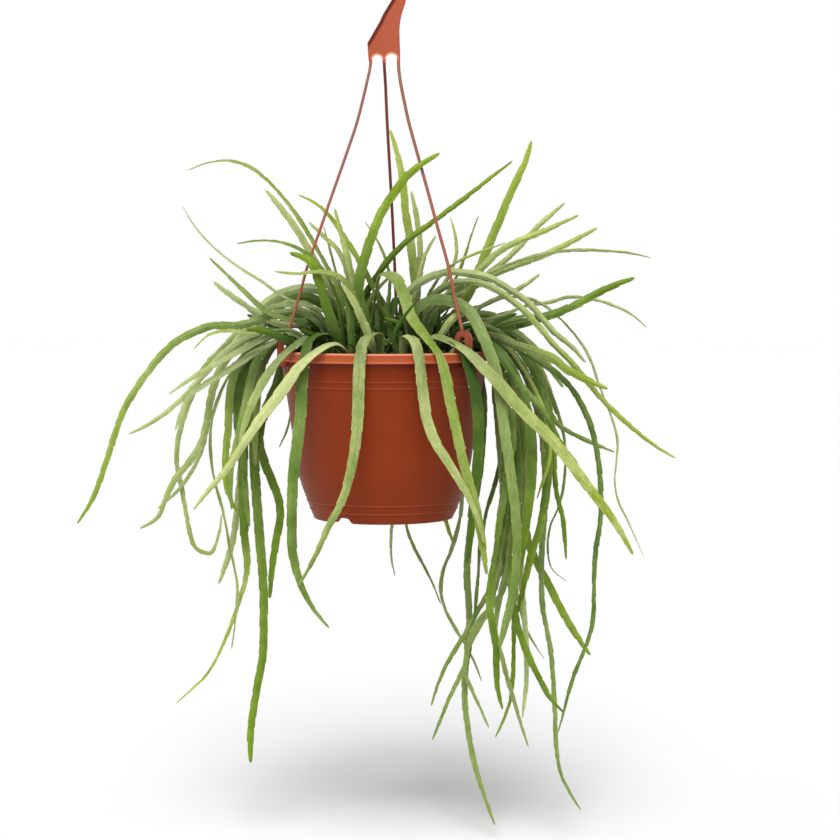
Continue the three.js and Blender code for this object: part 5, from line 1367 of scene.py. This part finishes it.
def plate(shape):
    """Adds the plate with its hook, its left edge darkened by painted shade, and the raised beads
    round its arches, which carry a painted glint.
    """
    outline = plate_outline()
    low, high = (PLATE_FOOT_Z + above for above in LEFT_CHAMFER["above"])
    left = np.array([x < LEFT_CHAMFER["x"] and low < z < high for x, z in outline])
    left[: len(outline) // 2] = False
    inset = np.where(left, LEFT_CHAMFER["inset"], EDGE_ROUND)
    corners, faces = plate_body(outline, ((1, 0, 0), (0, 0, 1), (0, -1, 0)), PLATE_THICKNESS, inset)
    rings = len(corners) // len(outline)
    # Painted shade on the plate's slanted left edge
    shade = np.concatenate([left * PAINTED_SHADE_BY_RING.get(ring, 0.0) for ring in range(rings)])
    shape.add(corners, faces, shade=shade)
    for arch in ARCHES:
        x, bar = arch["x"], ARCH_BEAD["radius"]
        radius, end = arch["radius"] + bar * ARCH_BEAD["outside"], PLATE_FOOT_Z - ARCH_BEAD["down"]
        bow = arc_points((x, PLATE_FOOT_Z + arch["z"]), radius, 180, 0, 28)
        bead = [(x - radius, end), *bow, (x + radius, end)]
        path = [(x, bar * ARCH_BEAD["behind"] - PLATE_THICKNESS / 2, z) for x, z in bead]
        corners, faces = sweep(path, bar, bar, np.array((0.0, 1, 0))[None, :])
        # A painted glint along each bead, fading out below the plate's foot
        shape.add(corners, faces, glint=smooth_step(corners[:, 2] - PLATE_FOOT_Z, *ARCH_BEAD["lit"]))


def hanger(material):
    """The one-piece hanger: plate and hook, three arms and their clips."""
    shape = Shape("shade", "arm", "glint")
    plate(shape)
    for arm in ARMS:
        radial = heading(arm["azimuth"])
        cross = np.array((-radial[1], radial[0], 0))
        path = even_points(arm_course(arm), ARM_RINGS)
        corners, faces = sweep(path, ARM_WIDTH / 2, ARM_THICKNESS / 2, cross[None, :])
        below = PLATE_FOOT_Z - corners[:, 2]
        brighter = LOW_ARM["brighter"] * smooth_step(below, *LOW_ARM["below"])
        duller = smooth_step(below, *ARM_BLEND) * (1 - brighter)
        # Painted shade darkens the back arm, and the clip below each arm
        shape.add(corners, faces, arm=duller, shade=arm["shade"])
        axes = (radial, (0, 0, 1), np.cross(radial, (0, 0, 1)))
        shape.add(*plate_body(clip_outline()[::-1], axes, CLIP["width"], CLIP_ROUND),
                  arm=CLIP["arm"], shade=CLIP["shade"])
    shade_by_angle(shape.piece("hanger_moulded", "hanger", [material]), degrees=50)


# Soil

def soil(materials):
    """The potting mix: a crumbly mound in the pot, with bark chips and grains of perlite on it."""
    dice = np.random.default_rng(SEED - 1)
    shape = Shape("lot")
    floor = FOOT_HEIGHT - POT_HEIGHT + WALL + SOIL_GAP
    top_radius = float(pot_radius(SOIL_EDGE_Z)) - WALL - SOIL_GAP
    foot_radius = OUTER_WALL[-1][0] - WALL - FLOOR_CHAMFER - SOIL_GAP
    fall = SOIL_CROWN_Z - SOIL_EDGE_Z
    side = [(radius - WALL - SOIL_GAP, z) for radius, z in OUTER_WALL[1:-1]][::-1]
    shares = np.linspace(SOIL_RINGS["from"], SOIL_RINGS["to"], SOIL_RINGS["count"])
    crown = [(top_radius * share, SOIL_EDGE_Z + fall * (1 - share)) for share in shares]
    cut_in, cut_up = SOIL_FOOT_CHAMFER
    profile = [(0, floor), (foot_radius - cut_in, floor), (foot_radius, floor + cut_up), *side,
               (top_radius, SOIL_EDGE_Z - SOIL_EDGE_FALL), *crown, (0, SOIL_CROWN_Z)]
    corners, faces = turned(profile, SOIL_RINGS["sides"])
    on_top = corners[:, 2] > SOIL_EDGE_Z - LUMPY_FROM
    corners[on_top, 2] -= dice.uniform(0, 2 * SOIL_LUMP, on_top.sum())
    shape.add(corners, faces, 0)
    chip_corners, chip_faces = ROUND_BALL
    for k in range(BARK["count"] + PERLITE["count"]):
        bark = k < BARK["count"]
        kind = BARK if bark else PERLITE
        radius = top_radius * GRAINS["within"] * math.sqrt(dice.uniform(0, 1))
        turn = dice.uniform(0, 2 * math.pi)
        size = dice.uniform(*kind["size"])
        if bark:
            form = (1, dice.uniform(*BARK["breadth"]), dice.uniform(*BARK["thickness"]))
        else:
            form = PERLITE["form"]
        spin = Matrix.Rotation(dice.uniform(*GRAINS["spin"]), 3, "Z")
        spin = spin @ Matrix.Rotation(dice.uniform(*GRAINS["tilt"]), 3, "X")
        lump = np.sign(chip_corners) * np.abs(chip_corners) ** kind["power"]
        rough = dice.uniform(*GRAINS["rough"], (len(lump), 1))
        lump = (lump * form * size * rough) @ np.array(spin).T
        z = SOIL_CROWN_Z - fall * radius / top_radius - GRAINS["sunk"]
        z += size * form[2] * GRAINS["raised"]
        centre = np.array((radius * math.cos(turn), radius * math.sin(turn), z))
        shape.add(centre + lump, chip_faces, 1 if bark else 2, lot=dice.uniform(0, 1))
    shape.piece("potting_mix", "soil", [materials["soil"], materials["bark"], materials["perlite"]])


# Materials

class Look:
    """A material's nodes: a Principled surface whose inputs are fed by short calls."""

    def __init__(self, name, **sockets):
        self.material = bpy.data.materials.new(name)
        self.material.use_nodes = True
        self.tree = self.material.node_tree
        self.surface = self.tree.nodes["Principled BSDF"]
        for socket, value in sockets.items():
            self.surface.inputs[socket.replace("_", " ")].default_value = value

    def node(self, kind, inputs=None, **settings):
        """Adds a node, with its settings and its inputs' values or links."""
        made = self.tree.nodes.new(kind)
        for key, value in settings.items():
            setattr(made, key, value)
        for key, value in (inputs or {}).items():
            self.feed(made.inputs[key], value)
        return made

    def feed(self, socket, value):
        """Links an output to a socket, or sets the socket's value."""
        if isinstance(value, bpy.types.NodeSocket):
            self.tree.links.new(value, socket)
        else:
            socket.default_value = value

    def read(self, name):
        """A corner value of the mesh."""
        return self.node("ShaderNodeAttribute", attribute_name=name).outputs["Fac"]

    def place(self):
        """The place on the object, in metres."""
        return self.node("ShaderNodeTexCoord").outputs["Object"]

    def noise(self, where, scale, detail=3.0, roughness=0.5):
        """Noise from 0 to 1 at a place."""
        inputs = {"Vector": where, "Scale": scale, "Detail": detail, "Roughness": roughness}
        return self.node("ShaderNodeTexNoise", inputs).outputs["Fac"]

    def math(self, kind, a, b=0.0):
        """One sum of one or two values."""
        return self.node("ShaderNodeMath", {0: a, 1: b}, operation=kind).outputs[0]

    def span(self, value, low, high, to_low=0.0, to_high=1.0):
        """Maps a range of a value to another range, held at its ends."""
        inputs = {"Value": value, "From Min": low, "From Max": high, "To Min": to_low,
                  "To Max": to_high}
        return self.node("ShaderNodeMapRange", inputs).outputs[0]

    def strip(self, value, middle, reach, core, most):
        """The most within core of a middle value, falling to nothing at its reach."""
        off = self.math("ABSOLUTE", self.math("SUBTRACT", value, middle))
        return self.span(off, reach, core, 0.0, most)

    def mix(self, share, a, b):
        """Mixes two colours by a share. The node's colours are its inputs 6 and 7 and output 2."""
        return self.node("ShaderNodeMix", {0: share, 6: a, 7: b}, data_type="RGBA").outputs[2]

    def ramp(self, value, *stops):
        """A colour between evenly spread ones, picked by a value from 0 to 1."""
        made = self.node("ShaderNodeValToRGB", {0: value})
        row = made.color_ramp.elements
        for k in range(1, len(stops) - 1):
            row.new(k / (len(stops) - 1))
        for stop, colour in zip(row, stops):
            stop.color = colour
        return made.outputs[0]

    def bump(self, height, strength, distance):
        """Bumps the surface by a height."""
        inputs = {"Height": height, "Strength": strength, "Distance": distance}
        return self.node("ShaderNodeBump", inputs).outputs[0]

    def finish(self, **inputs):
        """Links the surface's inputs and gives the material."""
        for socket, value in inputs.items():
            self.feed(self.surface.inputs[socket.replace("_", " ")], value)
        return self.material


def rgb(red, green, blue):
    """A colour given as it is seen, 0 to 255, in the renderer's own scale."""
    linear = [((c / 255 + 0.055) / 1.055) ** 2.4 if c > 10 else c / 255 / 12.92
              for c in (red, green, blue)]
    return (*linear, 1.0)


# The pot's plastic and the hanger's: the plain colour, its flow marks and its dust, then the rest.
# The pot's rest is painted light: painted shade under the rim band, the band painted lighter, painted
# highlights on its lips, and a painted highlight and painted shade on each raised line. The hanger's
# rest is the arms' duller colour, painted shade and a painted glint.
POT_COLOURS = {
    "plain": rgb(132, 49, 12), "flow": rgb(123, 44, 10), "dust": rgb(154, 84, 52),
    "painted_shade_under_band": rgb(96, 26, 6), "band": rgb(170, 80, 46), "low_lip_highlight": rgb(214, 124, 92),
    "top_lip_highlight": rgb(228, 156, 124), "line_painted_highlight": rgb(196, 104, 72), "line_painted_shade": rgb(84, 26, 8),
}
HANGER_COLOURS = {
    "plain": rgb(172, 86, 58), "flow": rgb(163, 79, 52), "dust": rgb(184, 114, 90),
    "arm": rgb(144, 92, 76), "shade": rgb(92, 26, 8), "glint": rgb(240, 158, 124),
}
# In metres: how far down the painted shade under the rim band reaches, then the painted highlight
# and the painted shade of each raised line, by the height of their middle above it, and the painted
# highlight on the band's low lip
PAINTED_RIM_SHADE = 0.016
PAINTED_LINE_HIGHLIGHT = {"middle": 0.0004, "reach": 0.0008, "core": 0.0002, "most": 0.16}
PAINTED_LINE_SHADE = {"middle": -0.0009, "reach": 0.0009, "core": 0.0002, "most": 0.28}
PAINTED_LOW_LIP_HIGHLIGHT = {"reach": 0.001, "core": 0.0003, "most": 0.5}
LOW_LIP_Z = 0.0008

MARGIN_CREAM = rgb(196, 184, 104)
# The green of the painted shade on the stems' lower stretches, near the soil
PAINTED_SHADE_GREEN = rgb(40, 70, 16)
OLD_FOOT_BROWN = rgb(84, 78, 44)
# How much painted shade darkens a stem of the palest tone low down near the soil, in the pale slot
# and in the others
PALE_PAINTED_SHADE = 0.15
OTHERS_PAINTED_SHADE = 0.78

# The stems' skins by the record's slot: greens from the deepest stem to the palest, then the same for
# their young ends
SKINS = {
    "stems_pale": ((rgb(59, 85, 36), rgb(107, 128, 62), rgb(162, 174, 111), rgb(194, 202, 139)),
                   (rgb(71, 98, 14), rgb(110, 138, 21), rgb(134, 154, 30), rgb(190, 202, 118))),
    "stems_bright": ((rgb(67, 94, 22), rgb(110, 135, 50), rgb(149, 164, 90), rgb(181, 191, 128)),
                     (rgb(87, 117, 13), rgb(130, 156, 38), rgb(154, 174, 66), rgb(178, 196, 106))),
    "stems_mid": ((rgb(64, 93, 28), rgb(109, 133, 62), rgb(150, 166, 104), rgb(178, 192, 136)),
                  (rgb(75, 105, 14), rgb(115, 144, 36), rgb(148, 168, 66), rgb(176, 192, 110))),
    "stems_deep": ((rgb(61, 86, 33), rgb(104, 127, 62), rgb(142, 159, 99), rgb(170, 185, 127)),
                   (rgb(71, 101, 14), rgb(110, 138, 33), rgb(143, 165, 60), rgb(171, 189, 100))),
}


def skin(name, greens, young_greens):
    """Fleshy green skin: softly mottled and streaked along, darker along the midrib, yellower towards
    the young end, with a thin cream margin, painted shade on its lower stretch near the soil and a
    brown old foot."""
    look = Look(name, Specular_IOR_Level=0.16, Subsurface_Weight=0.05, Subsurface_Scale=0.001)
    across, arc, age = look.read("across"), look.read("arc"), look.read("age")
    lot, half = look.read("lot"), look.read("half")
    edge = look.math("ABSOLUTE", across)
    where = look.node("ShaderNodeCombineXYZ", {
        0: look.math("MULTIPLY", across, half), 1: look.math("MULTIPLY", arc, 0.18),
        2: look.math("MULTIPLY", lot, 60.0)}).outputs[0]
    streak = look.noise(where, scale=0.8, detail=4.0, roughness=0.6)
    mottle = look.noise(look.place(), scale=320.0, detail=4.0, roughness=0.6)
    patch = look.noise(look.place(), scale=40.0, detail=2.0)
    tone = look.math("ADD", look.read("tone"), look.span(patch, 0.3, 0.7, -0.16, 0.16))
    tone = look.math("ADD", tone, look.span(streak, 0.3, 0.7, -0.1, 0.1))
    green = look.ramp(tone, *greens)
    young = look.math("MULTIPLY", look.span(age, 0.3, 0.85), look.read("fresh"))
    green = look.mix(young, green, look.ramp(tone, *young_greens))
    green = look.mix(look.span(mottle, 0.4, 0.7, 0.0, 0.22), green, greens[0])
    rib = look.math("MULTIPLY", look.span(edge, 0.02, 0.13, 0.24, 0.0), look.span(patch, 0.4, 0.6))
    green = look.mix(rib, green, greens[0])
    border = look.math("MULTIPLY", look.span(edge, 0.78, 0.98), look.span(mottle, 0.3, 0.6, 0.25, 0.6))
    border = look.math("MULTIPLY", border, look.span(tone, 0.2, 0.8, 0.2, 1.0))
    green = look.mix(border, green, MARGIN_CREAM)
    # Painted shade darkens each stem's lower stretch near the soil, deep-toned stems most
    least = PALE_PAINTED_SHADE if name == "stems_pale" else OTHERS_PAINTED_SHADE
    low_painted_shade = look.math("MULTIPLY", look.span(arc, 115.0, 30.0), look.span(tone, 0.0, 1.0, 0.9, least))
    green = look.mix(low_painted_shade, green, PAINTED_SHADE_GREEN)
    old = look.math("MULTIPLY", look.span(arc, 34.0, 12.0), look.span(streak, 0.3, 0.6, 0.5, 1.0))
    green = look.mix(old, green, OLD_FOOT_BROWN)
    fine = look.noise(look.place(), scale=1500.0, detail=2.0)
    height = look.math("ADD", look.math("MULTIPLY", streak, 0.5), look.math("MULTIPLY", fine, 0.15))
    return look.finish(Base_Color=green, Roughness=look.span(mottle, 0.3, 0.7, 0.46, 0.6),
                       Normal=look.bump(height, strength=0.25, distance=0.0005))


def plastic(look, colours):
    """The even colour of moulded plastic, with faint flow marks and a trace of dust."""
    cloud = look.noise(look.place(), scale=18.0)
    speck = look.noise(look.place(), scale=420.0, roughness=0.6)
    base = look.mix(look.span(cloud, 0.3, 0.7), colours["plain"], colours["flow"])
    return look.mix(look.span(speck, 0.55, 0.78, 0.0, 0.12), base, colours["dust"])


def moulded(look, base, roughness):
    """Finishes a plastic with its faint sheen and fine mould grain."""
    cloud = look.noise(look.place(), scale=24.0)
    grain = look.noise(look.place(), scale=1800.0, detail=2.0)
    uneven = look.span(cloud, 0.3, 0.7, roughness, roughness + 0.1)
    return look.finish(Base_Color=base, Roughness=uneven,
                       Normal=look.bump(grain, strength=0.1, distance=0.0003))


def pot_plastic():
    """Terracotta-coloured plastic with painted light: painted shade right under the rim band, the band
    painted lighter, most at its lips with painted highlights, and a painted highlight over a painted
    shade on each raised line."""
    look = Look("pot_plastic", Specular_IOR_Level=0.12, Sheen_Weight=0.08, Sheen_Roughness=0.4)
    colours = POT_COLOURS
    base = plastic(look, colours)
    height = look.node("ShaderNodeSeparateXYZ", {0: look.place()}).outputs["Z"]
    band = RIM_Z - RIM_BAND * MM
    # Painted shade on the wall right under the rim band
    shade = look.span(height, band - PAINTED_RIM_SHADE, band, 0.0, 0.5)
    base = look.mix(shade, base, colours["painted_shade_under_band"])
    # Each raised line gets a painted highlight along its top and a painted shade under it
    for at in BEAD_HEIGHTS:
        above = look.math("SUBTRACT", height, RIM_Z + at * MM)
        base = look.mix(look.strip(above, **PAINTED_LINE_HIGHLIGHT), base, colours["line_painted_highlight"])
        base = look.mix(look.strip(above, **PAINTED_LINE_SHADE), base, colours["line_painted_shade"])
    # The rim band is painted lighter, as if lit from above, with a painted highlight on its low lip
    base = look.mix(look.span(height, band - 0.0006, band + 0.0003), base, colours["band"])
    low_lip_highlight = look.strip(height, band + LOW_LIP_Z, **PAINTED_LOW_LIP_HIGHLIGHT)
    base = look.mix(low_lip_highlight, base, colours["low_lip_highlight"])
    # Painted highlight along the rim's top edge
    top_lip_highlight = look.span(height, RIM_Z - 0.0016, RIM_Z - 0.0004, 0.0, 0.8)
    base = look.mix(top_lip_highlight, base, colours["top_lip_highlight"])
    return moulded(look, base, roughness=0.4)


def hanger_plastic():
    """The hanger's plastic: redder and duller on the arms, darkened by painted shade on the plate's
    left edge, the back arm and the clips, and with a painted glint on the beads round the arches."""
    look = Look("hanger_plastic", Specular_IOR_Level=0.2)
    base = plastic(look, HANGER_COLOURS)
    base = look.mix(look.read("arm"), base, HANGER_COLOURS["arm"])
    base = look.mix(look.read("shade"), base, HANGER_COLOURS["shade"])
    # Painted glint on the beads round the arches
    glint = look.math("MULTIPLY", look.read("glint"), 0.85)
    base = look.mix(glint, base, HANGER_COLOURS["glint"])
    return moulded(look, base, roughness=0.4)


def crumb(name, dark, light, scale, depth):
    """A rough crumbly stuff: soil, bark, wood or grit."""
    look = Look(name, Specular_IOR_Level=0.25, Roughness=0.9)
    grain = look.noise(look.place(), scale, detail=5.0, roughness=0.65)
    lot = look.math("MULTIPLY", look.read("lot"), 0.3)
    tint = look.math("ADD", look.math("MULTIPLY", grain, 0.8), lot)
    base = look.mix(look.span(tint, 0.3, 0.8), dark, light)
    return look.finish(Base_Color=base, Normal=look.bump(grain, strength=0.8, distance=depth))


# The crumbly stuffs: the material's name, its dark and light colours, its grain's scale and how deep
# its bumps are, in metres
CRUMBS = {
    "wool": ("areole_wool", rgb(204, 198, 160), rgb(242, 238, 220), 2400.0, 0.0003),
    "woody": ("woody_foot", rgb(64, 50, 28), rgb(120, 98, 58), 420.0, 0.001),
    "soil": ("potting_soil", rgb(20, 14, 10), rgb(62, 46, 32), 260.0, 0.0015),
    "bark": ("bark", rgb(46, 30, 18), rgb(110, 78, 48), 320.0, 0.001),
    "perlite": ("perlite", rgb(180, 176, 166), rgb(224, 222, 214), 700.0, 0.0005),
}


def all_materials():
    """Every material of the plant, by name."""
    made = {slot: skin(slot, *both) for slot, both in SKINS.items()}
    made.update({key: crumb(*values) for key, values in CRUMBS.items()})
    made["pot"], made["hanger"] = pot_plastic(), hanger_plastic()
    return made


# Studio

FLOOR_DROP = 12
FLOOR_SPAN = 30
FLOOR_COLOUR = rgb(235, 235, 235)
WORLD_LIGHT = 0.32
WHITE = (1, 1, 1, 1)
# Each light: the direction it comes from, its strength, and how wide it is in degrees
LIGHTS = {
    "steep_key": ((-30, -205, 400), 1.67, 28),
    "flat_key": ((-30, -405, 400), 1.67, 28),
    "fill": ((-400, -60, 120), 0.6, 80),
}


def studio():
    """A plain pale floor, a soft key light from above the front in two halves, one steeper than the
    other, a weak fill from the left and even white surroundings."""
    level = CAD_LOW[2] - FLOOR_DROP * MM
    corner = FLOOR_SPAN / 2
    mesh = bpy.data.meshes.new("floor")
    signs = ((-1, -1), (1, -1), (1, 1), (-1, 1))
    square = [(corner * x, corner * y, level) for x, y in signs]
    mesh.from_pydata(square, [], [[0, 1, 2, 3]])
    look = Look("floor", Roughness=0.9, Specular_IOR_Level=0.1)
    mesh.materials.append(look.finish(Base_Color=FLOOR_COLOUR))
    floor = bpy.data.objects.new("floor", mesh)
    bpy.context.scene.collection.objects.link(floor)

    for name, (direction, strength, spread) in LIGHTS.items():
        sun = bpy.data.lights.new(name, "SUN")
        sun.energy, sun.angle = strength, math.radians(spread)
        light = bpy.data.objects.new(name, sun)
        light.rotation_euler = Vector(direction).to_track_quat("Z", "Y").to_euler()
        bpy.context.scene.collection.objects.link(light)

    world = bpy.data.worlds.new("studio")
    world.use_nodes = True
    nodes, links = world.node_tree.nodes, world.node_tree.links
    background = nodes["Background"]
    background.inputs["Color"].default_value = WHITE
    background.inputs["Strength"].default_value = WORLD_LIGHT
    # What is seen behind the floor's far edge is plain white, brighter than the light that it gives
    seen = nodes.new("ShaderNodeBackground")
    seen.inputs["Color"].default_value = WHITE
    path = nodes.new("ShaderNodeLightPath")
    both = nodes.new("ShaderNodeMixShader")
    links.new(path.outputs["Is Camera Ray"], both.inputs[0])
    links.new(background.outputs[0], both.inputs[1])
    links.new(seen.outputs[0], both.inputs[2])
    links.new(both.outputs[0], nodes["World Output"].inputs["Surface"])
    bpy.context.scene.world = world
    bpy.context.scene.view_settings.view_transform = "Standard"


def camera():
    """The camera, at the photograph's viewing angle."""
    made = bpy.data.cameras.new("camera")
    made.lens, made.sensor_width = LENS, SENSOR
    piece = bpy.data.objects.new("camera", made)
    piece.location = (0, -EYE_DISTANCE * MM, EYE_HEIGHT * MM + RIM_Z)
    piece.rotation_euler = (math.radians(90 - CAMERA_PITCH), 0, math.radians(-CAMERA_YAW))
    bpy.context.scene.collection.objects.link(piece)
    bpy.context.scene.camera = piece


MATERIALS = all_materials()
camera()
studio()
pot(MATERIALS["pot"])
hanger(MATERIALS["hanger"])
soil(MATERIALS)
stem_clumps(MATERIALS)
